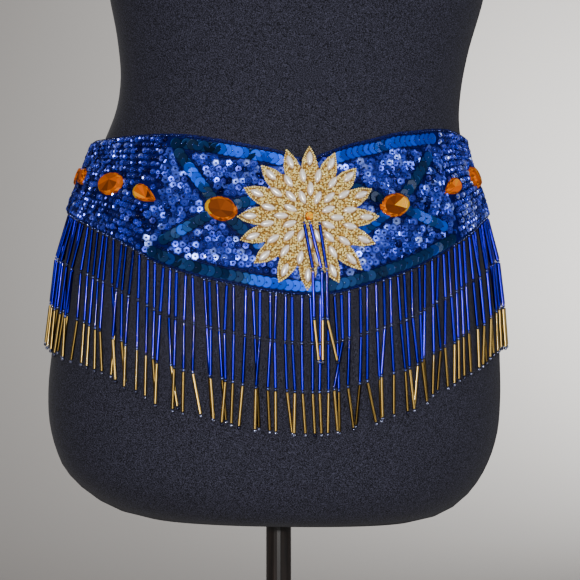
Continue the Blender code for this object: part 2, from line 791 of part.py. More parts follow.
left_end = BACK_LEFT + BELT_MIDDLE + CLOSURE_GAP / 2
right_end = BACK_RIGHT + BELT_MIDDLE - CLOSURE_GAP / 2
add_wall("belt_front", SEAM_LEFT + SLIP / 2, SEAM_RIGHT - SLIP / 2)
add_wall("belt_wing_left", left_end, SEAM_LEFT - SLIP / 2)
add_wall("belt_wing_right", SEAM_RIGHT + SLIP / 2, right_end)
add_binding()

add_band("sequin_band_top_left", edge_line(BAND_LEFT, BAND_INNER[0], True))
add_band("sequin_band_top_right", edge_line(BAND_INNER[1], BAND_RIGHT, True))
add_band("sequin_band_bottom", edge_line(BAND_LEFT, BAND_RIGHT, False))
add_arms("left", OVAL_LEFT, ARMS_LEFT)
add_arms("right", OVAL_RIGHT, ARMS_RIGHT)

add_stone("stone_front_left", OVAL_LEFT[0], OVAL_LEFT[1], OVAL, OVAL_LEFT[2])
add_stone("stone_front_right", OVAL_RIGHT[0], OVAL_RIGHT[1], OVAL, OVAL_RIGHT[2])
add_side_stones("left", SIDE_STONES_LEFT)
add_side_stones("right", SIDE_STONES_RIGHT)

add_medallion()
add_stone("stone_centre", MEDALLION_PLACE[0], MEDALLION_PLACE[1], CENTRE_STONE,
          lift=MEDALLION_LIFT + MEDALLION_RISE + MEDALLION_DOME + SLIP)

add_fringe("fringe_left", left_end, SEAM_LEFT, 11)
add_fringe("fringe_front", SEAM_LEFT, SEAM_RIGHT, 12)
add_fringe("fringe_right", SEAM_RIGHT, right_end, 13)
add_tassel()
add_hooks()
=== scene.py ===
"""Looks of the belly dance hip belt on its dress form.

Left and right are as seen from the front, and every length is in metres.
"""
import math
import random

import bpy
import numpy as np
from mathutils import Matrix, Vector


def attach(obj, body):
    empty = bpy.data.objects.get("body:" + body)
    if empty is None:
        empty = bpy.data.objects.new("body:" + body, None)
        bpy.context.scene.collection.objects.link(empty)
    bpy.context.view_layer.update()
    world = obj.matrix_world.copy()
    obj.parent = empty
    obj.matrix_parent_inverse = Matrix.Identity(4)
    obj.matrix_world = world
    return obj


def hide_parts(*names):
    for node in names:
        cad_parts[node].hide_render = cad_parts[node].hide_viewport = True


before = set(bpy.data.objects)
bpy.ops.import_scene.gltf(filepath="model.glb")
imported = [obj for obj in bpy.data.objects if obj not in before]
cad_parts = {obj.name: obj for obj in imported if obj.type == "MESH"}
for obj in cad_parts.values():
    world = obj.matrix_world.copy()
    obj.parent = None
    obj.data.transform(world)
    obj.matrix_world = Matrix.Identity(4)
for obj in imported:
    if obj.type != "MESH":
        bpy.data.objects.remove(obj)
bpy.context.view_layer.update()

# ---- camera, light and the room ------------------------------------------------------------
# The camera stands level with the fringe, a little to the form's right hand side. Far behind
# the form a pale sheet of paper runs up from the floor in a wide sweep.
CAMERA_TURN = math.radians(8.0)
CAMERA_DISTANCE = 1.50
CAMERA_HEIGHT = 0.968
CAMERA_ASIDE = 0.009
CAMERA_LENS = 117.3
ahead = Vector((math.sin(CAMERA_TURN), math.cos(CAMERA_TURN), 0.0))
aside = Vector((math.cos(CAMERA_TURN), -math.sin(CAMERA_TURN), 0.0))


def room_place(right, away, height):
    """A place in the room: to the camera's right of the form, away from the camera, and up."""
    return aside * right + ahead * away + Vector((0.0, 0.0, height))


camera = bpy.data.objects.new("camera", bpy.data.cameras.new("camera"))
bpy.context.scene.collection.objects.link(camera)
camera.location = room_place(CAMERA_ASIDE, -CAMERA_DISTANCE, CAMERA_HEIGHT)
camera.rotation_euler = (math.pi / 2, 0.0, -CAMERA_TURN)
camera.data.lens = CAMERA_LENS
camera.data.sensor_width = 36.0
bpy.context.scene.camera = camera


BELT_MIDDLE_POINT = Vector((0.0, -0.05, 1.0))
WALL_POINT = room_place(-0.10, 6.8, 1.1)
# name, place, target, width and height, watts, colour, spread in degrees
LIGHTS = (
    ("key", room_place(-0.046, -1.50, 1.043), BELT_MIDDLE_POINT,
     (0.06, 0.06), 18.0, (1.0, 0.98, 0.96), 180.0),
    ("tall_strip", room_place(-0.331, -1.50, 1.068), BELT_MIDDLE_POINT,
     (0.05, 1.20), 3.0, (0.96, 0.98, 1.0), 180.0),
    ("window", room_place(1.2554, -0.90, 1.2308), BELT_MIDDLE_POINT,
     (0.25, 0.60), 6.0, (0.93, 0.97, 1.0), 180.0),
    ("wall_wash", room_place(3.0, 4.8, 2.1), WALL_POINT,
     (0.6, 2.0), 215.0, (0.87, 0.95, 1.0), 106.0),
    ("behind", room_place(-0.6, 2.8, 2.6), BELT_MIDDLE_POINT,
     (1.2, 0.8), 22.0, (0.96, 0.98, 1.0), 180.0),
)


def add_light(name, place, target, size, watts, colour, spread):
    """A rectangular area light, as wide and high as its size says, aimed at a target."""
    lamp = bpy.data.lights.new(name, "AREA")
    lamp.shape = "RECTANGLE"
    lamp.size, lamp.size_y = size
    lamp.energy = watts
    lamp.color = colour
    lamp.spread = math.radians(spread)
    made = bpy.data.objects.new(name, lamp)
    bpy.context.scene.collection.objects.link(made)
    made.location = place
    made.rotation_euler = (target - place).to_track_quat("-Z", "Y").to_euler()


for light in LIGHTS:
    add_light(*light)

world = bpy.data.worlds.new("studio")
world.use_nodes = True
world.node_tree.nodes["Background"].inputs["Color"].default_value = (0.86, 0.87, 0.92, 1.0)
world.node_tree.nodes["Background"].inputs["Strength"].default_value = 0.26
bpy.context.scene.world = world


def plain_material(name, colour, roughness, metallic=0.0):
    """A new material, its Principled shader, and its node tree."""
    made = bpy.data.materials.new(name)
    made.use_nodes = True
    shader = made.node_tree.nodes["Principled BSDF"]
    shader.inputs["Base Color"].default_value = (*colour, 1.0)
    shader.inputs["Roughness"].default_value = roughness
    shader.inputs["Metallic"].default_value = metallic
    return made, shader, made.node_tree


def add_backdrop():
    """Floor and wall in one sheet, with a wide round corner between them."""
    reach = 8.0
    wall = 7.0
    corner = 3.0
    corner_steps = 16
    height = 5.0
    below_foot = 0.0005
    line = [(-reach, 0.0), (wall - corner, 0.0)]
    for i in range(1, corner_steps + 1):
        angle = math.pi / 2 * i / corner_steps
        line.append((wall - corner + corner * math.sin(angle), corner - corner * math.cos(angle)))
    line.append((wall, height))
    points = []
    for x in (-reach, reach):
        for y, z in line:
            spot = aside * x + ahead * y
            points.append((spot.x, spot.y, z - below_foot))
    count = len(line)
    faces = [(i, i + 1, count + i + 1, count + i) for i in range(count - 1)]
    mesh = bpy.data.meshes.new("backdrop")
    mesh.from_pydata(points, [], faces)
    mesh.shade_smooth()
    backdrop = bpy.data.objects.new("backdrop", mesh)
    bpy.context.scene.collection.objects.link(backdrop)
    finish, _, _ = plain_material("wall_paint", (0.34, 0.300, 0.272), 0.9)
    mesh.materials.append(finish)


add_backdrop()

# ---- the dress form ------------------------------------------------------------------------
# A firm foam torso with no limbs, covered in a charcoal jersey with pale flecks, and planted on
# its pole a little askew. Its oval sections also carry everything that the belt is made of.
FORM_FOOT = 0.787
FORM_LEAN = math.radians(1.5)
FORM_SQUARENESS = 2.3
FORM_COLUMNS = 144
FORM_ROW = 0.008
FORM_RIM = 0.812             # the rounded rim under the form ends at this height
SOCKET_RADIUS = 0.0103
SOCKET_DEPTH = 0.060
# share of the neck's outline, rise over its last section
FORM_CROWN = ((0.97, 0.0020), (0.92, 0.0030))

# height, half width, depth in front, depth behind, shift towards +X
FORM_SECTIONS = (
    (0.787, 0.084, 0.056, 0.062, 0.000),
    (0.789, 0.108, 0.074, 0.082, 0.000),
    (0.794, 0.127, 0.088, 0.096, -0.001),
    (0.801, 0.141, 0.096, 0.106, -0.002),
    (0.811, 0.1535, 0.103, 0.115, -0.0035),
    (0.825, 0.165, 0.108, 0.121, -0.005),
    (0.840, 0.172, 0.110, 0.124, -0.005),
    (0.858, 0.177, 0.112, 0.126, -0.005),
    (0.885, 0.179, 0.113, 0.127, -0.005),
    (0.915, 0.1775, 0.112, 0.126, -0.0045),
    (0.945, 0.175, 0.111, 0.124, -0.004),
    (0.975, 0.172, 0.110, 0.121, -0.005),
    (1.000, 0.168, 0.109, 0.118, -0.005),
    (1.025, 0.163, 0.107, 0.113, -0.005),
    (1.045, 0.156, 0.105, 0.107, -0.004),
    (1.065, 0.148, 0.102, 0.100, -0.004),
    (1.085, 0.141, 0.099, 0.093, -0.003),
    (1.105, 0.136, 0.097, 0.088, -0.001),
    (1.130, 0.135, 0.096, 0.085, 0.001),
    (1.160, 0.139, 0.098, 0.085, 0.002),
    (1.198, 0.148, 0.104, 0.088, 0.003),
    (1.245, 0.156, 0.118, 0.092, 0.003),
    (1.285, 0.160, 0.127, 0.095, 0.003),
    (1.325, 0.162, 0.122, 0.098, 0.002),
    (1.365, 0.166, 0.108, 0.100, 0.001),
    (1.400, 0.167, 0.094, 0.098, 0.000),
    (1.425, 0.156, 0.082, 0.092, 0.000),
    (1.445, 0.127, 0.070, 0.082, 0.000),
    (1.462, 0.094, 0.060, 0.070, 0.000),
    (1.480, 0.069, 0.054, 0.060, 0.000),
    (1.500, 0.057, 0.051, 0.055, 0.000),
    (1.545, 0.053, 0.049, 0.052, 0.000),
)


class Curve:
    """A smooth curve through the columns of a table, whose first column is the place."""

    def __init__(self, rows):
        table = np.array(rows)
        self.places = table[:, 0]
        self.values = table[:, 1:]
        self.slopes = np.gradient(self.values, self.places, axis=0)

    def at(self, place):
        """The columns' values at one place or at many, one column after another."""
        place = np.atleast_1d(place)
        left = np.clip(self.places.searchsorted(place) - 1, 0, len(self.places) - 2)
        span = (self.places[left + 1] - self.places[left])[:, None]
        t = (place - self.places[left])[:, None] / span
        ends = self.values[left] * (1 + 2 * t) + self.slopes[left] * span * t
        other = self.values[left + 1] * (3 - 2 * t) - self.slopes[left + 1] * span * (1 - t)
        return (ends * (1 - t) ** 2 + other * t * t).T


FORM_CURVE = Curve(FORM_SECTIONS)


def oval_points(turns, heights, offset):
    """Points `offset` off the upright form, at angles from its front and at heights."""
    half_width, front, back, shift = FORM_CURVE.at(heights)
    side = np.sin(turns)
    face = np.cos(turns)
    power = FORM_SQUARENESS
    reach = (np.abs(side) ** power + np.abs(face) ** power) ** (-1 / power)
    depth = np.where(face > 0, front, back)
    return np.column_stack((
        shift + (half_width + offset) * side * reach,
        -(depth + offset) * face * reach,
        heights + 0.0 * side,
    ))


def form_points(turns, heights, offset=0.0):
    """Points `offset` off the leaning form, at angles from its front and at heights."""
    x, y, z = oval_points(turns, heights, offset).T
    rise = z - FORM_FOOT
    return np.column_stack((
        x * math.cos(FORM_LEAN) + rise * math.sin(FORM_LEAN),
        y,
        FORM_FOOT + rise * math.cos(FORM_LEAN) - x * math.sin(FORM_LEAN),
    ))


def mesh_piece(name, points, faces, *finishes, face_finish=None, tones=None, smooth=True):
    """A new object of points and faces, with its materials, that rides with the rest."""
    mesh = bpy.data.meshes.new(name)
    mesh.from_pydata([tuple(p) for p in points], [], faces)
    for finish in finishes:
        mesh.materials.append(finish)
    if face_finish is not None:
        mesh.polygons.foreach_set("material_index", face_finish)
    if tones is not None:
        mesh.attributes.new("tone", "FLOAT", "POINT").data.foreach_set("value", tones)
    if smooth:
        mesh.shade_smooth()
    made = bpy.data.objects.new(name, mesh)
    bpy.context.scene.collection.objects.link(made)
    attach(made, "root")
    return made


def ring_faces(rings, columns, closed=True):
    """Quads between rings of points that follow one another in a list."""
    faces = []
    for r in range(rings - 1):
        for c in range(columns if closed else columns - 1):
            d = (c + 1) % columns
            low = r * columns
            faces.append((low + c, low + d, low + columns + d, low + columns + c))
    return faces


def node_group(name, inputs, outputs):
    """An empty node group with named sockets, and the sockets to work with inside it."""
    group = bpy.data.node_groups.new(name, "ShaderNodeTree")
    for way, sockets in (("INPUT", inputs), ("OUTPUT", outputs)):
        for socket, kind in sockets:
            group.interface.new_socket(socket, in_out=way, socket_type="NodeSocket" + kind)
    given = group.nodes.new("NodeGroupInput").outputs
    result = group.nodes.new("NodeGroupOutput").inputs
    return group, given, result


def grain_group():
    """A fine grain: a colour between two, a roughness between two, and a height for bumps."""
    group, given, result = node_group(
        "fine_grain",
        (("Stretch", "Vector"), ("Scale", "Float"), ("Detail", "Float"), ("Low", "Float"),
         ("High", "Float"), ("Dark", "Color"), ("Light", "Color"), ("Smooth", "Float"),
         ("Rough", "Float")),
        (("Color", "Color"), ("Roughness", "Float"), ("Height", "Float")))
    place = group.nodes.new("ShaderNodeTexCoord")
    stretch = group.nodes.new("ShaderNodeMapping")
    noise = group.nodes.new("ShaderNodeTexNoise")
    share = group.nodes.new("ShaderNodeMapRange")
    uneven = group.nodes.new("ShaderNodeMapRange")
    mix = group.nodes.new("ShaderNodeMix")
    mix.data_type = "RGBA"
    factor, dark, light = (mix.inputs[i] for i in (0, 6, 7))
    for start, end in (
        (place.outputs["Object"], stretch.inputs["Vector"]),
        (given["Stretch"], stretch.inputs["Scale"]),
        (stretch.outputs["Vector"], noise.inputs["Vector"]),
        (given["Scale"], noise.inputs["Scale"]),
        (given["Detail"], noise.inputs["Detail"]),
        (noise.outputs["Fac"], share.inputs["Value"]),
        (given["Low"], share.inputs["From Min"]),
        (given["High"], share.inputs["From Max"]),
        (share.outputs["Result"], factor),
        (given["Dark"], dark),
        (given["Light"], light),
        (noise.outputs["Fac"], uneven.inputs["Value"]),
        (given["Smooth"], uneven.inputs["To Min"]),
        (given["Rough"], uneven.inputs["To Max"]),
        (mix.outputs[2], result["Color"]),
        (uneven.outputs["Result"], result["Roughness"]),
        (noise.outputs["Fac"], result["Height"]),
    ):
        group.links.new(start, end)
    return group


FINE_GRAIN = grain_group()


def add_grain(tree, scale, detail=2.0, stretch=(1.0, 1.0, 1.0), span=(0.0, 1.0),
              colours=((0.0, 0.0, 0.0), (1.0, 1.0, 1.0)), roughness=(0.0, 1.0)):
    """The grain group in a material; its colours run between two levels of the noise."""
    node = tree.nodes.new("ShaderNodeGroup")
    node.node_tree = FINE_GRAIN
    node.inputs["Stretch"].default_value = stretch
    node.inputs["Scale"].default_value = scale
    node.inputs["Detail"].default_value = detail
    node.inputs["Low"].default_value, node.inputs["High"].default_value = span
    node.inputs["Dark"].default_value = (*colours[0], 1.0)
    node.inputs["Light"].default_value = (*colours[1], 1.0)
    node.inputs["Smooth"].default_value, node.inputs["Rough"].default_value = roughness
    return node


def add_bump(tree, shader, grain, strength, distance):
    """Small bumps where the grain is high."""
    bump = tree.nodes.new("ShaderNodeBump")
    bump.inputs["Strength"].default_value = strength
    bump.inputs["Distance"].default_value = distance
    tree.links.new(grain.outputs["Height"], bump.inputs["Height"])
    tree.links.new(bump.outputs["Normal"], shader.inputs["Normal"])


def jersey():
    """Charcoal jersey: a fine knit with pale flecks."""
    finish, shader, tree = plain_material("charcoal_jersey", (0.03, 0.032, 0.042), 0.92)
    flecks = add_grain(tree, 1500.0, span=(0.42, 0.66),
                       colours=((0.0040, 0.0040, 0.0064), (0.050, 0.050, 0.080)))
    knit = add_grain(tree, 900.0)
    tree.links.new(flecks.outputs["Color"], shader.inputs["Base Color"])
    add_bump(tree, shader, knit, 0.35, 0.0004)
    shader.inputs["Specular IOR Level"].default_value = 0.15
    shader.inputs["Sheen Weight"].default_value = 0.05
    return finish


def add_form():
    """The torso with a socket for its pole, closed under its foot and over its neck."""
    turns = np.linspace(0.0, 2 * math.pi, FORM_COLUMNS, endpoint=False)
    rim = [row[0] for row in FORM_SECTIONS if row[0] < FORM_RIM]
    top = FORM_SECTIONS[-1][0]
    heights = rim + list(np.arange(FORM_RIM + FORM_ROW, top, FORM_ROW)) + [top]
    around = np.column_stack((SOCKET_RADIUS * np.sin(turns), -SOCKET_RADIUS * np.cos(turns)))
    rings = []
    for height in (FORM_FOOT + SOCKET_DEPTH, FORM_FOOT):
        rings.append(np.column_stack((around, np.full(FORM_COLUMNS, height))))
    for height in heights:
        rings.append(form_points(turns, np.full(FORM_COLUMNS, height)))
    crown = rings[-1].mean(axis=0)
    for share, rise in FORM_CROWN:
        ring = crown + (rings[-1] - crown) * share
        rings.append(ring + np.array((0.0, 0.0, rise)))
    points = np.concatenate(rings)
    faces = ring_faces(len(rings), FORM_COLUMNS)
    last = (len(rings) - 1) * FORM_COLUMNS
    faces.append(tuple(range(last, last + FORM_COLUMNS)))
    faces.append(tuple(range(FORM_COLUMNS))[::-1])
    form = mesh_piece("form_cloth", points, faces, jersey())
    form.data.set_sharp_from_angle(angle=math.radians(50))
    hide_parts("form_torso")


add_form()

# ---- the pole and the foot -----------------------------------------------------------------
# A dark lacquered turned pole that stands in the form's socket, and a round pressed steel
# foot in satin black paint. Both keep the solids' shapes and only take their finish here.


def dark_wood():
    finish, shader, tree = plain_material("dark_wood", (0.05, 0.025, 0.014), 0.32)
    grain = add_grain(tree, 3.0, detail=6.0, stretch=(90.0, 90.0, 6.0), span=(0.35, 0.70),
                      colours=((0.005, 0.0035, 0.003), (0.019, 0.012, 0.009)))
    tree.links.new(grain.outputs["Color"], shader.inputs["Base Color"])
    shader.inputs["Coat Weight"].default_value = 0.6
    shader.inputs["Coat Roughness"].default_value = 0.15
    return finish


def black_paint():
    finish, shader, tree = plain_material("satin_black_paint", (0.016, 0.016, 0.018), 0.42)
    speckle = add_grain(tree, 350.0, roughness=(0.32, 0.52))
    tree.links.new(speckle.outputs["Roughness"], shader.inputs["Roughness"])
    add_bump(tree, shader, speckle, 0.15, 0.0003)
    return finish


def dress_node(name, finish):
    """A new finish on a node whose shape is kept."""
    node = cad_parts[name]
    node.data.materials.clear()
    node.data.materials.append(finish)


dress_node("stand_pole", dark_wood())
dress_node("stand_foot", black_paint())

# ---- the belt's cloth ----------------------------------------------------------------------
# Royal blue satin over buckram in three pieces: a deep front, and two wings that meet at the
# middle of the back. Every bead is sewn through it, so it shows only between them.
WALL = 0.0025
GIRTH_HEIGHT = 1.020
GIRTH_OFFSET = 0.004
SEAM_LEFT = -0.113
SEAM_RIGHT = 0.129
BELT_MIDDLE = 0.007
CLOSURE_GAP = 0.004
SLIP = 0.0003
CLOTH_STEP = 0.006

# place along the belt, height of its top edge, height of its bottom edge
BELT_EDGES = (
    (-0.460, 1.083, 1.031),
    (-0.340, 1.080, 1.029),
    (-0.230, 1.078, 1.026),
    (-0.190, 1.077, 1.020),
    (-0.155, 1.078, 1.010),
    (-0.126, 1.079, 0.999),
    (-0.104, 1.079, 0.988),
    (-0.074, 1.076, 0.978),
    (-0.044, 1.072, 0.972),
    (-0.022, 1.069, 0.968),
    (0.006, 1.063, 0.966),
    (0.022, 1.069, 0.967),
    (0.044, 1.076, 0.973),
    (0.062, 1.080, 0.979),
    (0.086, 1.086, 0.988),
    (0.103, 1.088, 0.996),
    (0.126, 1.091, 1.007),
    (0.150, 1.092, 1.018),
    (0.174, 1.090, 1.028),
    (0.200, 1.089, 1.032),
    (0.260, 1.088, 1.033),
    (0.340, 1.086, 1.032),
    (0.460, 1.083, 1.031),
)

# place along the belt, gap to the form at the top edge, gap at the bottom edge
BELT_EASE = (
    (-0.460, 0.0009, 0.0009),
    (-0.400, 0.0009, 0.0009),
    (-0.330, 0.0018, 0.0011),
    (-0.230, 0.0050, 0.0018),
    (-0.160, 0.0038, 0.0014),
    (-0.080, 0.0010, 0.0009),
    (-0.040, 0.0009, 0.0009),
    (0.000, 0.0009, 0.0009),
    (0.460, 0.0009, 0.0009),
)
EDGE_CURVE = Curve(BELT_EDGES)
EASE_CURVE = Curve(BELT_EASE)


def girth_table(count=1440):
    """Angles round the form, with their lengths along the line that the belt is measured on."""
    turns = np.linspace(-math.pi, math.pi, count + 1)
    x, y, _ = oval_points(turns, GIRTH_HEIGHT, GIRTH_OFFSET).T
    lengths = np.concatenate(([0.0], np.cumsum(np.hypot(np.diff(x), np.diff(y)))))
    return turns, lengths - np.interp(0.0, turns, lengths)


GIRTH_TURNS, GIRTH_LENGTHS = girth_table()
BACK_LEFT = GIRTH_LENGTHS[0]
BACK_RIGHT = GIRTH_LENGTHS[-1]
LEFT_END = BACK_LEFT + BELT_MIDDLE + CLOSURE_GAP / 2
RIGHT_END = BACK_RIGHT + BELT_MIDDLE - CLOSURE_GAP / 2


def wrapped(along):
    """Places along the belt, brought back into the tables' range past the middle of the back."""
    return (np.asarray(along, float) - BACK_LEFT) % (BACK_RIGHT - BACK_LEFT) + BACK_LEFT


def edge_heights(along):
    """Top and bottom of the belt at places along it."""
    return EDGE_CURVE.at(wrapped(along))


def skin_points(along, height, offset):
    """Points `offset` off the form at belt places."""
    along = np.atleast_1d(along)
    height = np.atleast_1d(height) + 0.0 * along
    turns = np.interp(wrapped(along), GIRTH_LENGTHS, GIRTH_TURNS)
    return form_points(turns, height, offset)


def belt_points(along, height, offset):
    """Points at belt places, `offset` outside the inner face of the cloth."""
    top, bottom = edge_heights(along)
    share = np.clip((height - bottom) / (top - bottom), 0.0, 1.0)
    at_top, at_bottom = EASE_CURVE.at(wrapped(along))
    return skin_points(along, height, at_bottom + (at_top - at_bottom) * share + offset)


def belt_axes(along, height):
    """Three directions at each belt place: along the belt, up it, and straight out of it."""
    reach = 0.002
    along = np.atleast_1d(along)
    height = np.atleast_1d(height)
    side = belt_points(along + reach, height, WALL) - belt_points(along - reach, height, WALL)
    rise = belt_points(along, height + reach, WALL) - belt_points(along, height - reach, WALL)
    out = np.cross(side, rise)
    out /= np.linalg.norm(out, axis=1)[:, None]
    side /= np.linalg.norm(side, axis=1)[:, None]
    return np.stack((side, np.cross(out, side), out), axis=1)


def places(start, stop, step):
    """Evenly spaced places from start to stop, about a step apart."""
    return np.linspace(start, stop, max(1, round(abs(stop - start) / step)) + 1)


def satin():
    finish, shader, tree = plain_material("royal_blue_satin", (0.012, 0.022, 0.20), 0.5)
    weave = add_grain(tree, 1500.0, colours=((0.0004, 0.001, 0.022), (0.001, 0.005, 0.130)))
    tree.links.new(weave.outputs["Color"], shader.inputs["Base Color"])
    add_bump(tree, shader, weave, 0.3, 0.0003)
    shader.inputs["Specular IOR Level"].default_value = 0.02
    return finish


SATIN = satin()


def add_cloth(name, node, start, stop):
    """One piece of the belt, from its lower edge over its inner and outer faces."""
    rows = 12
    rings = []
    for along in places(start, stop, CLOTH_STEP):
        top, bottom = edge_heights(along)[:, 0]
        heights = np.linspace(bottom, top, rows)
        spot = np.full(rows, along)
        inner = belt_points(spot, heights, 0.0)
        outer = belt_points(spot, heights, WALL)
        rings.append(np.concatenate((inner, outer[::-1])))
    points = np.concatenate(rings)
    columns = 2 * rows
    faces = ring_faces(len(rings), columns)
    for low in (0, (len(rings) - 1) * columns):
        for r in range(rows - 1):
            quad = (low + r, low + r + 1, low + columns - 2 - r, low + columns - 1 - r)
            faces.append(quad if low else quad[::-1])
    cloth = mesh_piece(name, points, faces, SATIN)
    cloth.data.set_sharp_from_angle(angle=math.radians(40))
    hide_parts(node)
    tops, bottoms = edge_heights(places(start, stop, CLOTH_STEP))


add_cloth("front_cloth", "belt_front", SEAM_LEFT + SLIP / 2, SEAM_RIGHT - SLIP / 2)
add_cloth("wing_cloth_left", "belt_wing_left", LEFT_END, SEAM_LEFT - SLIP / 2)
add_cloth("wing_cloth_right", "belt_wing_right", SEAM_RIGHT + SLIP / 2, RIGHT_END)

# ---- the top binding -----------------------------------------------------------------------
# A narrow navy bias binding over the top edge, whipped on with a row of tiny pale seed beads.
# A second row of them is whipped along the bottom edge, over the fringe's strip.
BINDING_HEIGHT = 0.0022
PICOT_PITCH = 0.0021
PICOT_RADIUS = 0.00062
PICOT_LEVEL = 0.0004         # how far a bead's middle stands off the cloth's face
PICOT_DROP = 0.0012          # how far the lower row hangs below the cloth's edge


def seed_shape(sides=6):
    """A round bead of unit radius, its hole left out: two rings and two poles."""
    points = [(0.0, 0.0, -0.85)]
    for level, radius in ((-0.42, 0.88), (0.42, 0.88)):
        for i in range(sides):
            angle = 2 * math.pi * i / sides
            points.append((radius * math.cos(angle), radius * math.sin(angle), level))
    points.append((0.0, 0.0, 0.85))
    faces = []
    for i in range(sides):
        j = (i + 1) % sides
        faces.append((0, 1 + j, 1 + i))
        faces.append((1 + i, 1 + j, 1 + sides + j, 1 + sides + i))
        faces.append((1 + sides + i, 1 + sides + j, 1 + 2 * sides))
    return np.array(points), faces


SEED = seed_shape()


def strew(name, shape, spots, axes, sizes, finish, tones=None, smooth=True, painted_shading=None):
    """One piece of many small copies, each at its spot, on its axes and in its size.

    Tones go with the spots, and painted shading with the points of the shape."""
    base, base_faces = shape
    sizes = np.asarray(sizes, float)
    if sizes.ndim < 2:
        sizes = np.repeat(np.broadcast_to(sizes, (len(spots),))[:, None], 3, axis=1)
    moved = np.einsum("mk,nk,nkj->nmj", base, sizes, axes) + spots[:, None, :]
    step = len(base)
    faces = [tuple(i + n * step for i in face) for n in range(len(spots)) for face in base_faces]
    each = None if tones is None else np.repeat(tones, step)
    each = each if painted_shading is None else np.tile(painted_shading, len(spots))
    return mesh_piece(name, moved.reshape(-1, 3), faces, finish, tones=each, smooth=smooth)


def tone_step_group():
    """One stretch of a run of colours: from one colour to the next between two tones."""
    group, given, result = node_group(
        "tone_step",
        (("Tone", "Float"), ("Low", "Float"), ("High", "Float"), ("Below", "Color"),
         ("Above", "Color")),
        (("Color", "Color"),))
    share = group.nodes.new("ShaderNodeMapRange")
    mix = group.nodes.new("ShaderNodeMix")
    mix.data_type = "RGBA"
    factor, below, above = (mix.inputs[i] for i in (0, 6, 7))
    for start, end in (
        (given["Tone"], share.inputs["Value"]),
        (given["Low"], share.inputs["From Min"]),
        (given["High"], share.inputs["From Max"]),
        (share.outputs["Result"], factor),
        (given["Below"], below),
        (given["Above"], above),
        (mix.outputs[2], result["Color"]),
    ):
        group.links.new(start, end)
    return group


TONE_STEP = tone_step_group()


def bead_glass(name, dark, light, roughness=0.25, metallic=0.85, coat=0.25, between=()):
    """Glossy bead or sequin stuff, whose colour runs from dark to light with the tone.

    The stops in between are tones with their colours, from the lowest up."""
    finish, shader, tree = plain_material(name, light, roughness, metallic)
    tone = tree.nodes.new("ShaderNodeAttribute")
    tone.attribute_name = "tone"
    stops = ((0.0, dark), *between, (1.0, light))
    reached = None
    for (low, below), (high, above) in zip(stops, stops[1:]):
        step = tree.nodes.new("ShaderNodeGroup")
        step.node_tree = TONE_STEP
        step.inputs["Low"].default_value = low
        step.inputs["High"].default_value = high
        step.inputs["Below"].default_value = (*below, 1.0)
        step.inputs["Above"].default_value = (*above, 1.0)
        tree.links.new(tone.outputs["Fac"], step.inputs["Tone"])
        if reached:
            tree.links.new(reached, step.inputs["Below"])
        reached = step.outputs["Color"]
    tree.links.new(reached, shader.inputs["Base Color"])
    shader.inputs["Coat Weight"].default_value = coat
    shader.inputs["Coat Roughness"].default_value = 0.05
    return finish


def navy_cord():
    finish, shader, tree = plain_material("navy_cord", (0.006, 0.006, 0.045), 0.5)
    twist = add_grain(tree, 900.0, span=(0.35, 0.75),
                      colours=((0.0005, 0.0008, 0.014), (0.003, 0.008, 0.150)))
    tree.links.new(twist.outputs["Color"], shader.inputs["Base Color"])
    shader.inputs["Specular IOR Level"].default_value = 0.12
    return finish


NAVY = navy_cord()
PALE_SEED = bead_glass("pale_seed", (0.001, 0.002, 0.06), (0.18, 0.24, 0.80), coat=0.8)
dress_node("binding_top", NAVY)


def edge_seeds(name, top_edge, seed):
    """Tiny beads that stand along the top or the bottom edge of the belt."""
    rng = np.random.default_rng(seed)
    along = places(LEFT_END, RIGHT_END, PICOT_PITCH)
    top, bottom = edge_heights(along)
    height = top + BINDING_HEIGHT * 0.5 if top_edge else bottom - PICOT_DROP
    spots = belt_points(along, height, WALL + PICOT_LEVEL)
    tones = rng.random(len(along)) ** 2
    beads = strew(name, SEED, spots, belt_axes(along, height), PICOT_RADIUS, PALE_SEED,
                  tones)


edge_seeds("top_edge_seeds", True, 3)
edge_seeds("bottom_edge_seeds", False, 4)

# ---- the sequin bands ----------------------------------------------------------------------
# Flat azure sequins, sewn like fish scales along both edges of the front and in two crosses
# under the large stones. A pair of navy cords edges each band.
BAND_WIDTH = 0.0072
BAND_INSET = 0.0012
BAND_STEP = 0.003
BAND_LEFT = -0.106
BAND_RIGHT = 0.121
BAND_INNER = (-0.0190, 0.0265)
BAND_PITCH = 0.0050
FLAT_SEQUIN = 0.0043         # radius
SEQUIN_LEVEL = 0.0019        # how far a sequin's middle stands off the cloth's face
STITCH_RADIUS = 0.00065
STITCH_RISE = 0.0003         # how far its bead's middle stands over the sequin's
ARM_START = 0.007            # an arm begins this far from its stone's middle
# degrees: the usual lift of a sequin's leading edge, its slow drift, its stray
SEQUIN_LIFT = (6.0, 2.0, 4.0)
SEQUIN_ROLL = (3.0, 6.0)     # degrees: slow drift, stray
DRIFT_SPAN = 5               # sequins over which the drift is smoothed
DRIFT_LAG = 2                # sequins by which the roll's drift follows the lift's
BAND_TONE_STRAY = 0.10
CORD_STEP = 0.0009
CORD_RADIUS = 0.00052
CORD_TWIST = 0.00010         # how much thicker the cord is at every second step
# distance from the band's middle line, height off the cloth's face, phase of the twist
CORDS = ((0.0044, 0.0006, 0), (0.0055, 0.0005, 1))
# length, width and height of a stone; place, height and turn in degrees of one stone
OVAL = (0.025, 0.018, 0.0042)
OVAL_LEFT = (-0.059, 1.026, -15.0)
OVAL_RIGHT = (0.074, 1.033, 15.0)
ARMS_LEFT = ((-0.1005, 1.0665), (-0.0980, 1.0025), (-0.0300, 1.0010), (-0.0320, 1.0345))
ARMS_RIGHT = ((0.1130, 1.0710), (0.1140, 1.0190), (0.0420, 1.0095), (0.0430, 1.0440))


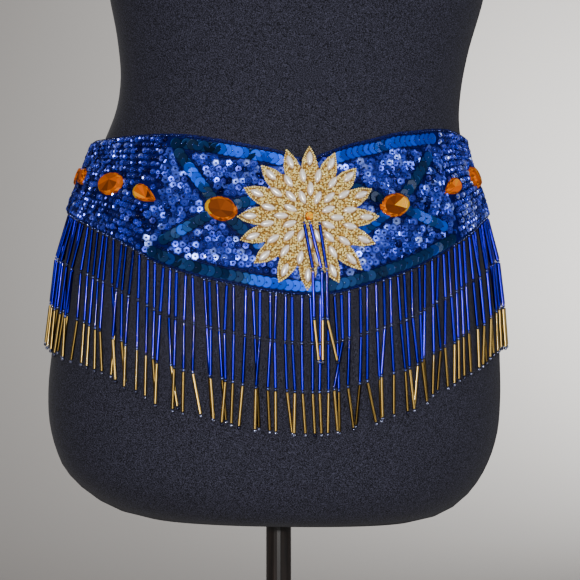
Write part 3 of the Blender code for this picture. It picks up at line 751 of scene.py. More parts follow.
def edge_line(start, stop, top_edge):
    """Belt places of a band that follows the top or the bottom edge."""
    along = places(start, stop, BAND_STEP)
    top, bottom = edge_heights(along)
    inset = BAND_INSET + BAND_WIDTH / 2
    return np.column_stack((along, top - inset if top_edge else bottom + inset))


def arm_line(stone, end):
    """Belt places of one arm of a cross, from under its stone to its end."""
    start = np.array(stone[:2])
    run = np.array(end) - start
    length = float(np.hypot(*run))
    reach = np.linspace(ARM_START, length, max(2, round(length / BAND_STEP)))
    return start + run / length * reach[:, None]


BAND_LINES = {
    "top_left": edge_line(BAND_LEFT, BAND_INNER[0], True),
    "top_right": edge_line(BAND_INNER[1], BAND_RIGHT, True)[::-1],
    "bottom": edge_line(BAND_LEFT, BAND_RIGHT, False),
}
for side_name, stone, ends in (("left", OVAL_LEFT, ARMS_LEFT), ("right", OVAL_RIGHT, ARMS_RIGHT)):
    for number, end in enumerate(ends):
        BAND_LINES[f"arm_{side_name}_{number + 1}"] = arm_line(stone, end)


def line_lengths(line):
    """How far along a line of belt places each of its points is."""
    steps = np.hypot(*np.diff(line, axis=0).T)
    return np.concatenate(([0.0], np.cumsum(steps)))


def along_line(line, reach, shift=0.0):
    """Places at lengths along a line of belt places, shifted to its left, with its direction."""
    lengths = line_lengths(line)
    probe = 0.002
    at, later, sooner = (
        np.column_stack([np.interp(place, lengths, line[:, k]) for k in (0, 1)])
        for place in (reach, reach + probe, reach - probe))
    run = later - sooner
    run /= np.maximum(np.hypot(*run.T), 1e-9)[:, None]
    return at + np.column_stack((-run[:, 1], run[:, 0])) * shift, run


def disc_shape(sides, rings):
    """A sequin of unit radius from (radius, level) rings, from its hole to its rim."""
    points = []
    for radius, level in rings:
        for i in range(sides):
            angle = 2 * math.pi * (i + 0.5) / sides
            points.append((radius * math.cos(angle), radius * math.sin(angle), level))
    faces = ring_faces(len(rings), sides)
    return np.array(points), faces


FLAT_SHAPE = disc_shape(16, ((0.15, 0.00), (0.90, 0.012), (1.00, 0.050), (1.0, -0.02)))


def tilted(axes, run, lift, roll):
    """Axes turned so that each sequin's leading edge lifts, and rolled a little."""
    side = axes[:, 0] * run[:, :1] + axes[:, 1] * run[:, 1:]
    across = axes[:, 1] * run[:, :1] - axes[:, 0] * run[:, 1:]
    out = axes[:, 2]
    front = side * np.cos(lift)[:, None] + out * np.sin(lift)[:, None]
    normal = out * np.cos(lift)[:, None] - side * np.sin(lift)[:, None]
    width = across * np.cos(roll)[:, None] + normal * np.sin(roll)[:, None]
    normal = normal * np.cos(roll)[:, None] - across * np.sin(roll)[:, None]
    return np.stack((front, width, normal), axis=1)


# azure sequin film, whose tone is painted light and shade: teal black where a sequin is painted as
# turned away, bright where it is painted as facing the light
AZURE = bead_glass("azure_sequin", (0.000, 0.010, 0.035), (0.0, 0.12, 0.90), 0.50, 0.85, 0.1,
                   ((0.35, (0.000, 0.024, 0.110)), (0.60, (0.000, 0.050, 0.420)),
                    (0.92, (0.000, 0.060, 0.66))))


def tube(points, axes, radii, sides=6):
    """Points and faces of a closed tube along a list of points."""
    rings = []
    for i in range(sides):
        angle = 2 * math.pi * i / sides
        offset = axes[:, 0] * math.cos(angle) + axes[:, 1] * math.sin(angle)
        rings.append(points + offset * radii[:, None])
    grid = np.stack(rings, axis=1).reshape(-1, 3)
    faces = ring_faces(len(points), sides)
    faces.append(tuple(range(sides))[::-1])
    faces.append(tuple(range(len(grid) - sides, len(grid))))
    return grid, faces


def cord_along(line, shift, offset, phase):
    """A twisted cord that runs beside a line of belt places."""
    total = line_lengths(line)[-1]
    reach = places(0.0, total, CORD_STEP)
    spots, run = along_line(line, reach, shift)
    axes = belt_axes(spots[:, 0], spots[:, 1])
    across = axes[:, 1] * run[:, :1] - axes[:, 0] * run[:, 1:]
    radii = CORD_RADIUS + CORD_TWIST * np.where((np.arange(len(reach)) + phase) % 2, 1.0, 0.0)
    middle = belt_points(spots[:, 0], spots[:, 1], WALL + offset)
    return tube(middle, np.stack((across, axes[:, 2]), axis=1), radii)


# painted light and shade on each band's film: how bright it is at shares of its length, a band from
# its start outwards; bright stretches are painted as facing the light
BAND_PAINTED_LIGHT = {
    "band_top_left": ((0.0, 0.15), (0.40, 0.25), (0.46, 0.85), (0.66, 0.85), (0.71, 0.2),
                      (0.76, 0.85), (1.0, 0.9)),
    "band_top_right": ((0.0, 0.85), (0.50, 0.8), (0.55, 0.2), (0.60, 0.75), (1.0, 0.9)),
    "band_bottom": ((0.0, 0.15), (0.29, 0.2), (0.33, 0.8), (0.38, 0.75), (0.42, 0.7), (0.50, 0.7),
                    (0.55, 0.2), (0.85, 0.15), (0.90, 0.45), (1.0, 0.2)),
    "band_arm_left_1": ((0.0, 0.1), (0.28, 0.15), (0.36, 0.75), (0.64, 0.8), (0.74, 0.2),
                        (1.0, 0.15)),
    "band_arm_left_2": ((0.0, 0.15), (0.45, 0.15), (0.55, 0.4), (0.65, 0.4), (0.75, 0.15),
                        (1.0, 0.1)),
    "band_arm_left_3": ((0.0, 0.2), (1.0, 0.3)),
    "band_arm_left_4": ((0.0, 0.2), (0.6, 0.2), (0.8, 0.8), (1.0, 0.8)),
    "band_arm_right_1": ((0.0, 0.15), (0.8, 0.2), (1.0, 0.5)),
    "band_arm_right_2": ((0.0, 0.2), (0.25, 0.3), (0.4, 0.8), (0.55, 0.8), (0.7, 0.4), (1.0, 0.6)),
    "band_arm_right_3": ((0.0, 0.45), (1.0, 0.6)),
    "band_arm_right_4": ((0.0, 0.15), (1.0, 0.2)),
}


def add_band(name, node, line, seed):
    """One band: its overlapping sequins, a stitch bead on each, and the cords beside them."""
    rng = np.random.default_rng(seed)
    total = line_lengths(line)[-1]
    reach = places(0.0, total, BAND_PITCH)
    spots, run = along_line(line, reach)
    count = len(reach)
    drift = np.convolve(rng.normal(0.0, 1.0, count + DRIFT_SPAN - 1),
                        np.ones(DRIFT_SPAN) / DRIFT_SPAN ** 0.5, "valid")
    lift, lift_drift, lift_stray = SEQUIN_LIFT
    roll_drift, roll_stray = SEQUIN_ROLL
    lift = np.radians(lift + lift_drift * drift + rng.normal(0.0, lift_stray, count))
    roll = np.radians(roll_drift * np.roll(drift, DRIFT_LAG)
                      + rng.normal(0.0, roll_stray, count))
    base = belt_axes(spots[:, 0], spots[:, 1])
    axes = tilted(base, run, lift, roll)
    middle = belt_points(spots[:, 0], spots[:, 1], WALL + SEQUIN_LEVEL)
    # these tones are painted light: bright where the band's sequins face the light, dark where they
    # turn away, with a little random stray
    shares, levels = np.array(BAND_PAINTED_LIGHT[name]).T
    tones = np.interp(reach / total, shares, levels)
    tones = np.clip(tones + rng.normal(0.0, BAND_TONE_STRAY, count), 0.0, 1.0)
    sequins = strew(name + "_sequins", FLAT_SHAPE, middle, axes, FLAT_SEQUIN, AZURE, tones, False)
    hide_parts(node)
    stitches = strew(name + "_stitches", SEED, middle + base[:, 2] * STITCH_RISE, base,
                     STITCH_RADIUS, PALE_SEED, rng.random(count) ** 2)
    points = []
    faces = []
    for shift, offset, phase in CORDS:
        for sign in (-1, 1):
            some, some_faces = cord_along(line, shift * sign, offset, phase)
            faces += [tuple(i + len(points) for i in face) for face in some_faces]
            points += list(some)
    cords = mesh_piece(name + "_cords", points, faces, NAVY)


for number, (line_name, line) in enumerate(BAND_LINES.items()):
    band_node = f"sequin_{line_name}" if "arm" in line_name else f"sequin_band_{line_name}"
    add_band(f"band_{line_name}", band_node, line, 20 + number)

# ---- the stones ----------------------------------------------------------------------------
# Flat-backed amber acrylic stones, sewn on through their rims: a large oval on each cross,
# and teardrops and ovals in turn round both wings. A small round one sits on the medallion.
TEARDROP = (0.0225, 0.0125, 0.0036)
TEARDROP_POINT = 1.2         # how sharply its end draws in
TEARDROP_FULLNESS = 1.32     # makes up for the width that the point takes
STONE_CROWN = (1.04, 0.16)   # height over the table's edge, most shift from the middle
CENTRE_STONE = (0.0066, 0.0066, 0.0030)
STONE_COLUMNS = 18
# share of the outline, share of the height, share of a column that the ring is turned by
STONE_RINGS = (
    (1.00, 0.00, 0.0),
    (1.00, 0.20, 0.0),
    (0.90, 0.60, 0.5),
    (0.77, 1.00, 0.0),
)
# places of the stones on each wing, from the front to the back
SIDE_STONES_LEFT = (-0.120, -0.155, -0.201, -0.247, -0.283, -0.319, -0.355, -0.391, -0.427)
SIDE_STONES_RIGHT = (0.133, 0.178, 0.222, 0.262, 0.297, 0.332, 0.367, 0.402, 0.437)
FIRST_STONE_SHARE = 0.475
SIDE_STONE_SHARE = 0.497
TEARDROP_TURN = 28.0
STONE_MARGIN = 0.0006        # between a stone's outline and the beading round it
# the rim's facets take one of these tones; those that face the side get a painted glint
RIM_TONES = (0.32, 0.5, 0.62, 0.80)
RIM_GLINT = (0.62, 1.0)      # share of the half length where it begins, and tone
TABLE_TONES = (0.34, 0.62)
TABLE_VARIETY = 0.17
TABLE_GLINT = 0.93
# tone of a table that isn't drawn, its variety, and where the painted glint on its bright side
# begins
NAMED_TABLES = {
    "stone_front_left": (0.22, 0.06, math.inf),
    "stone_front_right": (0.22, 0.06, 0.40),
    "stone_centre": (0.97, TABLE_VARIETY, math.inf),
}
MEDALLION_PLACE = (0.006, 1.022)
MEDALLION_LIFT = 0.0017
MEDALLION_RISE = 0.0014
MEDALLION_DOME = 0.0008


def amber():
    """Deep amber with bright rims and painted glints: the tone of each facet is set on the stone.
    """
    between = ((0.3, (0.19, 0.038, 0.0005)), (0.55, (0.50, 0.095, 0.001)),
               (0.75, (0.80, 0.13, 0.003)))
    finish = bead_glass("amber_acrylic", (0.050, 0.010, 0.0005), (0.84, 0.44, 0.002),
                        0.6, 0.0, 0.12, between)
    finish.node_tree.nodes["Principled BSDF"].inputs["Specular IOR Level"].default_value = 0.05
    return finish


AMBER = amber()


def outline_point(angle, size, teardrop):
    """A point of a stone's outline, an ellipse or a teardrop that ends in a point."""
    x = math.cos(angle)
    y = math.sin(angle)
    if teardrop:
        y *= TEARDROP_FULLNESS * abs(math.sin(angle / 2)) ** TEARDROP_POINT
    return x * size[0] / 2, y * size[1] / 2


def add_stone(name, along, height, size, seed, turn=0.0, teardrop=False, lift=SLIP):
    """A rigid faceted stone; every facet has its own corners, so that it keeps its own tone."""
    rng = random.Random(seed)
    side, rise, out = belt_axes(along, height)[0]
    middle = belt_points(along, height, WALL)[0] + out * lift
    angle = math.radians(turn)
    length_axis = side * math.cos(angle) + rise * math.sin(angle)
    width_axis = rise * math.cos(angle) - side * math.sin(angle)
    rings = []
    for share, level, shift in STONE_RINGS:
        ring = []
        for i in range(STONE_COLUMNS):
            x, y = outline_point(2 * math.pi * (i + shift) / STONE_COLUMNS, size, teardrop)
            ring.append(middle + length_axis * (x * share) + width_axis * (y * share)
                        + out * (level * size[2]))
        rings.append(ring)
    facets = []
    for low, high in zip(STONE_RINGS, STONE_RINGS[1:]):
        r = STONE_RINGS.index(low)
        for i in range(STONE_COLUMNS):
            j = (i + 1) % STONE_COLUMNS
            a, b, c, d = rings[r][i], rings[r][j], rings[r + 1][j], rings[r + 1][i]
            if low[2] == high[2]:
                facets.append((a, b, c, d))
            elif low[2] < high[2]:
                facets += [(a, b, d), (b, c, d)]
            else:
                facets += [(a, c, d), (a, b, c)]
    rim = len(facets)
    crown_height, shift = STONE_CROWN
    crown = (middle + out * size[2] * crown_height
             + length_axis * size[0] * rng.uniform(-shift, shift))
    crown = crown + width_axis * size[1] * rng.uniform(-shift, shift)
    for i in range(0, STONE_COLUMNS, 2):
        a, b, c = (rings[-1][(i + k) % STONE_COLUMNS] for k in range(3))
        facets.append((a, b, c, crown))
    facets.append(tuple(rings[0][::-1]))
    points = []
    faces = []
    tones = []
    drawn = (rng.uniform(*TABLE_TONES), TABLE_VARIETY, math.inf)
    table, variety, glint_from = NAMED_TABLES.get(name, drawn)
    lean = math.copysign(0.5 * size[0] * abs(side @ length_axis), along)
    for number, facet in enumerate(facets):
        tone = rng.choice(RIM_TONES) if number < rim else rng.gauss(table, variety)
        toward = (np.mean(facet, axis=0) - middle) @ side / lean
        # painted glints: rim facets towards the stone's outer end, and on one stone the table's
        # facets on that side, take a bright tone
        if STONE_COLUMNS < number < rim and toward > RIM_GLINT[0]:
            tone = RIM_GLINT[1]
        if number >= rim and toward > glint_from:
            tone = TABLE_GLINT
        faces.append(tuple(range(len(points), len(points) + len(facet))))
        points += facet
        tones += [tone] * len(facet)
    stone = mesh_piece(name + "_acrylic", points, faces, AMBER, tones=tones, smooth=False)
    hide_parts(name)


STONES = [
    ("stone_front_left", *OVAL_LEFT[:2], OVAL, OVAL_LEFT[2], False),
    ("stone_front_right", *OVAL_RIGHT[:2], OVAL, OVAL_RIGHT[2], False),
]
for side_name, row in (("left", SIDE_STONES_LEFT), ("right", SIDE_STONES_RIGHT)):
    for number, along in enumerate(row):
        top, bottom = edge_heights(along)[:, 0]
        share = SIDE_STONE_SHARE if number else FIRST_STONE_SHARE
        height = bottom + (top - bottom) * share
        is_drop = number % 2 == 0
        turn = 0.0
        if is_drop:
            turn = -TEARDROP_TURN if along < 0 else 180.0 + TEARDROP_TURN
        size = TEARDROP if is_drop else OVAL
        STONES.append((f"stone_{side_name}_{number + 1}", along, height, size, turn, is_drop))
for number, (stone_name, along, height, size, turn, is_drop) in enumerate(STONES):
    add_stone(stone_name, along, height, size, 50 + number, turn, is_drop)
add_stone("stone_centre", *MEDALLION_PLACE, CENTRE_STONE, 49,
          lift=MEDALLION_LIFT + MEDALLION_RISE + MEDALLION_DOME + SLIP)


def clear_of_stones(along, height, margin):
    """Whether belt places lie outside every stone's outline grown by a margin."""
    clear = np.ones(len(along), bool)
    for _, place, level, size, turn, _ in STONES:
        angle = math.radians(turn)
        dx = along - place
        dy = height - level
        x = dx * math.cos(angle) + dy * math.sin(angle)
        y = dy * math.cos(angle) - dx * math.sin(angle)
        clear &= (x / (size[0] / 2 + margin)) ** 2 + (y / (size[1] / 2 + margin)) ** 2 > 1.0
    return clear


# ---- the wings' beading --------------------------------------------------------------------
# Rows of small navy and royal cup sequins, each held by a seed bead, that follow the belt
# round to the back and spread out where the front is deep.
CUP_SHAPE = disc_shape(8, ((0.30, 0.02), (0.60, 0.04), (1.00, 0.44)))
WING_ROWS = 17
WING_PITCH = 0.0037
SMALL_CUP = 0.00225
SMALL_CUP_LEVELS = (0.0004, 0.0011)
CUP_TILT = 10.0              # degrees
CUP_BEAD = (0.28, 0.42)      # a bead's rise over its cup and its radius, in cup radii
SMALL_CUP_TONES = (1.0, 1.5)         # shape of their beta spread: more are dark than bright
CUP_BEAD_TONE_STRAY = 0.2
WING_FIRST_ROW = 0.6         # the lowest row's height over the edge, in rows
WING_WAVE = (0.0006, 0.019, 0.6)     # height, length and shift of the rows' wave
WING_STRAY = (0.00025, 0.0002)       # along the belt, and up it
# the royal cups run from navy to royal blue at a tone of 0.75; above it they run on to a pale blue
# that is a painted highlight, cups painted as catching the light
ROYAL = bead_glass("royal_cup_sequin", (0.004, 0.006, 0.11), (0.42, 0.52, 1.0), 0.28, coat=0.2,
                   between=((0.75, (0.11, 0.16, 0.95)),))
NAVY_SEED = bead_glass("navy_seed", (0.0005, 0.001, 0.030), (0.010, 0.030, 0.50), 0.20, 0.5)


def loosely_tilted(base, rng):
    """Axes that lean and roll a little, each in a direction of its own."""
    count = len(base)
    heading = rng.uniform(0, 2 * math.pi, count)
    run = np.column_stack((np.cos(heading), np.sin(heading)))
    lift = np.radians(rng.normal(0.0, CUP_TILT, count))
    roll = np.radians(rng.normal(0.0, CUP_TILT, count))
    return tilted(base, run, lift, roll)


def add_cups(name, along, height, radius, seed, dark):
    """Cup sequins at belt places, loosely tilted, each with its bead; `dark` lowers all their tones
    as painted shade, and below zero it raises them as painted light.
    """
    rng = np.random.default_rng(seed)
    count = len(along)
    base = belt_axes(along, height)
    axes = loosely_tilted(base, rng)
    lift = rng.uniform(*SMALL_CUP_LEVELS, count)
    spots = belt_points(along, height, WALL + lift)
    tones = np.clip(rng.beta(*SMALL_CUP_TONES, count) - dark, 0.0, 1.0)
    cups = strew(name + "_cups", CUP_SHAPE, spots, axes, radius, ROYAL, tones, False)
    over = belt_points(along, height, WALL + lift + radius * CUP_BEAD[0])
    beads = strew(name + "_beads", SEED, over, base, radius * CUP_BEAD[1], NAVY_SEED,
                  np.clip(tones + rng.normal(0.0, CUP_BEAD_TONE_STRAY, count), 0.0, 1.0))


def wing_places(start, stop, seed):
    """Places of a wing's cups, in rows that share its depth, with none under a stone."""
    rng = np.random.default_rng(seed)
    swell, length, shift = WING_WAVE
    along = []
    height = []
    for row in range(WING_ROWS):
        line = places(start, stop, WING_PITCH) + (row % 2) * WING_PITCH / 2
        line = line[(line > start) & (line < stop)]
        top, bottom = edge_heights(line)
        level = bottom + (top - bottom) * (row + WING_FIRST_ROW) / WING_ROWS
        wave = swell * np.sin(line / length + row * shift)
        along.append(line + rng.normal(0.0, WING_STRAY[0], len(line)))
        height.append(level + wave + rng.normal(0.0, WING_STRAY[1], len(line)))
    along = np.concatenate(along)
    height = np.concatenate(height)
    keep = clear_of_stones(along, height, STONE_MARGIN)
    return along[keep], height[keep]


# the right wing's cups get a negative `dark`, which paints them lighter as a painted highlight
# where the light falls on that side; the left wing's are painted a little darker
add_cups("wing_left", *wing_places(LEFT_END, SEAM_LEFT, 71), SMALL_CUP, 81, 0.02)
add_cups("wing_right", *wing_places(SEAM_RIGHT, RIGHT_END, 72), SMALL_CUP, 82, -0.20)

# ---- the front's beading -------------------------------------------------------------------
# Larger periwinkle cup sequins with hexagonal facets fill the fields between the bands. They
# lie in loose rows, half a step apart, and each is sewn on through a navy seed bead.
FIELD_PITCH = 0.0050
FIELD_ROW = 0.87             # space between the rows, in pitches
FIELD_HEIGHTS = (0.960, 1.096)
FIELD_STRAY = 0.0004
FIELD_MARGIN = 0.0015        # from the belt's edges
FIELD_END = 0.001            # the rows stop this far before the right seam
BAND_MARGIN = 0.0060         # from a band's middle line
MEDALLION_MARGIN = 0.033     # from the medallion's middle
LARGE_CUP = 0.0034
LARGE_CUP_LEVELS = (0.0004, 0.0018)
LARGE_CUP_TONES = (1.1, 1.4)         # shape of their beta spread
LARGE_CUP_BEAD = (0.0005, 0.0009)    # rise over the cup, and radius
FIELD_CUP_SHAPE = disc_shape(6, ((0.28, 0.00), (0.72, 0.02), (1.00, 0.22)))
# the periwinkle runs from navy up to full periwinkle at a tone of 0.82; above it, it runs on to a
# pale blue that is a painted highlight, cups painted as catching the light
PERIWINKLE = bead_glass("periwinkle_cup_sequin", (0.003, 0.004, 0.09), (0.30, 0.42, 1.0), 0.34,
                        coat=0.1, between=((0.50, (0.045, 0.075, 0.60)), (0.82, (0.13, 0.22, 1.0))))


def clear_of_bands(along, height, margin):
    """Whether belt places lie further than a margin from every band's middle line."""
    clear = np.ones(len(along), bool)
    spots = np.column_stack((along, height))
    for line in BAND_LINES.values():
        gap = np.min(np.hypot(*(spots[:, None, :] - line[None, :, :]).transpose(2, 0, 1)), axis=1)
        clear &= gap > margin
    return clear


def field_places(seed):
    """Places of the large cups: rows over the whole front, kept where the cloth is free."""
    rng = np.random.default_rng(seed)
    along = []
    height = []
    rows = np.arange(*FIELD_HEIGHTS, FIELD_PITCH * FIELD_ROW)
    for number, level in enumerate(rows):
        line = np.arange(SEAM_LEFT + FIELD_MARGIN, SEAM_RIGHT - FIELD_END, FIELD_PITCH)
        line = line + (number % 2) * FIELD_PITCH / 2
        along.append(line)
        height.append(np.full(len(line), level))
    along = np.concatenate(along)
    height = np.concatenate(height)
    along = along + rng.normal(0.0, FIELD_STRAY, len(along))
    height = height + rng.normal(0.0, FIELD_STRAY, len(height))
    top, bottom = edge_heights(along)
    inside = (height < top - FIELD_MARGIN) & (height > bottom + FIELD_MARGIN)
    inside &= along < SEAM_RIGHT
    far = np.hypot(along - MEDALLION_PLACE[0], height - MEDALLION_PLACE[1]) > MEDALLION_MARGIN
    keep = inside & far & clear_of_bands(along, height, BAND_MARGIN)
    keep &= clear_of_stones(along, height, STONE_MARGIN)
    return along[keep], height[keep]


def add_field_cups(seed):
    """The large cups over the whole front, each with its bead."""
    rng = np.random.default_rng(seed)
    along, height = field_places(seed)
    count = len(along)
    base = belt_axes(along, height)
    axes = loosely_tilted(base, rng)
    lift = rng.uniform(*LARGE_CUP_LEVELS, count)
    spots = belt_points(along, height, WALL + lift)
    tones = rng.beta(*LARGE_CUP_TONES, count)
    cups = strew("front_cups", FIELD_CUP_SHAPE, spots, axes, LARGE_CUP, PERIWINKLE, tones, False)
    rise, bead_radius = LARGE_CUP_BEAD
    over = belt_points(along, height, WALL + lift + rise)
    beads = strew("front_cup_beads", SEED, over, base, bead_radius, NAVY_SEED, rng.random(count))


add_field_cups(90)

# ---- the medallion -------------------------------------------------------------------------
# A star of gold bullion work on stiff backing: sixteen pointed petals edged with gold beads,
# four rings of long pearls, and short bullion chips that fill all that is left.
MEDALLION_RADIUS = 0.053
MEDALLION_VALLEY = 0.036
MEDALLION_RIM = 0.75         # height of the bed at its rim, in shares of the medallion's rise
MEDALLION_PETALS = 16
MEDALLION_SEED = 7
PETAL_STRAY = (2.5, 0.0012)  # degrees, and length
PETAL_HALF_WIDTH = 0.0064
PETAL_STEPS = 11
PETAL_ROOT = 0.03            # a petal counts from this radius outwards
GOLD_PITCH = 0.0016
# radius of the ring, number of pearls, shift in shares of their spacing
PEARL_RINGS = (
    (0.0430, 16, 0.0),
    (0.0308, 16, 0.5),
    (0.0205, 8, 0.0),
    (0.0152, 8, 0.5),
)
PEARL = (0.0112, 0.0056, 0.0029)     # length, width and height
PEARL_TAPER = (2.4, 0.95)    # powers of its outline, inside its bracket and outside
PEARL_TIP = 0.03             # half width left at its ends, in shares of the whole
PEARL_BACK = 6               # power of its back's curve from end to end
# share of the star's outline, share of the bed's height
BED_RINGS = (
    (0.08, 1.0), (0.30, 1.0), (0.55, 1.0), (0.75, 1.0), (0.90, 1.0), (1.00, 0.7),
    (1.00, 0.0), (0.75, 0.0), (0.40, 0.0), (0.08, 0.0),
)
CHIP_STRAY = 0.0004
CHIP_INSET = 0.0010          # from the star's rim
CHIP_CENTRE = 0.0030         # free radius round the star's middle, under its stone
CHIP_LEVELS = (0.0005, 0.0017)
CHIP_HALF_LENGTHS = (0.0009, 0.0015)
CHIP_RADIUS = 0.00082
CHIP_TONES = (0.8, 0.5)      # shape of their beta spread: many are bright, some are dark
EDGE_INSET = 0.0004
EDGE_RADII = (0.0006, 0.0011)
EDGE_TONES = (0.6, 1.0)
EDGE_LEVEL = 0.8             # share of the medallion's rise


def petal_table():
    """How far each petal is turned from its regular place, and how far out its tip is."""
    rng = random.Random(MEDALLION_SEED)
    turn, length = PETAL_STRAY
    rows = []
    for _ in range(MEDALLION_PETALS):
        rows.append((
            math.radians(rng.uniform(-turn, turn)),
            MEDALLION_RADIUS + rng.uniform(-length, length),
        ))
    return rows


PETALS = petal_table()


def petal_middle(petal, radius):
    """Angle of a petal's middle line at a radius, from the topmost petal's place."""
    return 2 * math.pi * petal / MEDALLION_PETALS + PETALS[petal][0] * (
        radius / MEDALLION_RADIUS) ** 2


def star_outline(inset=0.0):
    """Angles and radii round the star, from valley to tip to valley of each petal in turn."""
    angles = []
    radii = []
    for petal in range(MEDALLION_PETALS):
        tip = PETALS[petal][1] - inset
        for step in range(-PETAL_STEPS, PETAL_STEPS):
            t = 1.0 - abs(step) / PETAL_STEPS
            radius = MEDALLION_VALLEY + (tip - MEDALLION_VALLEY) * t
            width = (PETAL_HALF_WIDTH - inset) * (1.0 - t * t) * (1 if step > 0 else -1)
            angles.append(petal_middle(petal, radius) + math.atan2(width, radius))
            radii.append(math.hypot(width, radius))
    return np.array(angles), np.array(radii)


def inside_star(x, y, inset):
    """Whether places lie on the star, at least an inset from its rim."""
    radius = np.hypot(x, y)
    angle = np.arctan2(x, y)
    inside = radius < MEDALLION_VALLEY - inset
    for petal in range(MEDALLION_PETALS):
        t = (radius - MEDALLION_VALLEY) / (PETALS[petal][1] - inset - MEDALLION_VALLEY)
        off = (angle - petal_middle(petal, radius) + math.pi) % (2 * math.pi) - math.pi
        width = PETAL_HALF_WIDTH * (1.0 - np.clip(t, 0.0, 1.0) ** 2) - inset
        inside |= (t < 1.0) & (np.abs(off) * radius < width) & (radius > PETAL_ROOT)
    return inside


def medallion_level(radius):
    """Height of the bead bed over the medallion's underside: a low dome, thin at the rim."""
    share = np.clip(np.asarray(radius) / MEDALLION_RADIUS, 0.0, 1.0)
    return MEDALLION_RISE * MEDALLION_RIM + MEDALLION_DOME * (1.0 - share ** 2)


def medallion_points(x, y, level):
    """Points over the medallion's underside, at places measured from its middle."""
    along, height = MEDALLION_PLACE
    return belt_points(along + x, height + y, WALL + MEDALLION_LIFT + level)


def pearl():
    """Cream pearl, whiter at its crown as a painted highlight and darker at its foot as painted
    shade.
    """
    between = ((0.45, (0.90, 0.68, 0.50)), (0.80, (0.96, 0.82, 0.68)))
    finish = bead_glass("cream_pearl", (0.56, 0.34, 0.20), (1.0, 0.98, 0.92), 0.28, 0.0, 1.0,
                        between)
    shader = finish.node_tree.nodes["Principled BSDF"]
    shader.inputs["Specular IOR Level"].default_value = 0.9
    shader.inputs["Coat Roughness"].default_value = 0.27
    shader.inputs["Coat IOR"].default_value = 3.2
    return finish


# gold-lined glass beads, and the darker gold of the bed under them
GOLD = bead_glass("gold_beads", (0.56, 0.28, 0.02), (1.0, 0.83, 0.30), 0.28, 0.20, 1.0)
GOLD_GROUND = bead_glass("gold_ground", (0.20, 0.10, 0.012), (0.20, 0.10, 0.012), 0.8, 0.0, 0.0)


def add_medallion_bed():
    """The stiff star that the beads are sewn to."""
    angles, radii = star_outline()
    rings = []
    for share, high in BED_RINGS:
        radius = radii * share
        level = medallion_level(radius) * high
        rings.append(medallion_points(radius * np.sin(angles), radius * np.cos(angles), level))
    points = np.concatenate(rings)
    columns = len(angles)
    faces = [face[::-1] for face in ring_faces(len(rings), columns)]
    last = len(points) - columns
    faces.append(tuple(range(columns)))
    faces.append(tuple(range(last, last + columns))[::-1])
    bed = mesh_piece("medallion_bed", points, faces, GOLD_GROUND)
    bed.data.set_sharp_from_angle(angle=math.radians(40))
    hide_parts("medallion")


def pearl_places():
    """Places and headings of the pearls; those of the outer ring lie along their petals."""
    spots = []
    for radius, count, shift in PEARL_RINGS:
        for i in range(count):
            angle = 2 * math.pi * (i + shift) / count
            if radius > MEDALLION_VALLEY:
                angle = petal_middle(i, radius)
            spots.append((radius * math.sin(angle), radius * math.cos(angle), angle))
    return np.array(spots)


def pearl_shape(rows=9, columns=9):
    """Half of a long pearl with pointed ends, its length along the second axis."""
    points = []
    for r in range(rows):
        y = -math.cos(math.pi * r / (rows - 1))
        width = max((1.0 - abs(y) ** PEARL_TAPER[0]) ** PEARL_TAPER[1], PEARL_TIP)
        back = (1.0 - y ** PEARL_BACK) ** 0.5
        for c in range(columns):
            angle = math.pi * c / (columns - 1)
            points.append((width * math.cos(angle), y, back * math.sin(angle)))
    return np.array(points), ring_faces(rows, columns, closed=False)


def add_pearls():
    """The long pearls, each along the way out from the medallion's middle."""
    spots = pearl_places()
    x, y, angle = spots.T
    along, height = MEDALLION_PLACE
    base = belt_axes(along + x, height + y)
    outward = base[:, 0] * np.sin(angle)[:, None] + base[:, 1] * np.cos(angle)[:, None]
    across = np.cross(outward, base[:, 2])
    axes = np.stack((across, outward, base[:, 2]), axis=1)
    half = np.array((PEARL[1] / 2, PEARL[0] / 2, PEARL[2]))
    sizes = np.repeat(half[None, :], len(spots), axis=0)
    shape = pearl_shape()
    # each pearl's tone is the height of its points: a painted highlight along its crown, painted
    # shade towards its foot
    pearls = strew("medallion_pearls", shape,
                   medallion_points(x, y, medallion_level(np.hypot(x, y))), axes, sizes, pearl(),
                   painted_shading=shape[0][:, 2])


def in_plane(axes, headings):
    """Axes turned about the way out of the cloth."""
    cos = np.cos(headings)[:, None]
    sin = np.sin(headings)[:, None]
    first = axes[:, 0] * cos + axes[:, 1] * sin
    second = axes[:, 1] * cos - axes[:, 0] * sin
    return np.stack((first, second, axes[:, 2]), axis=1)


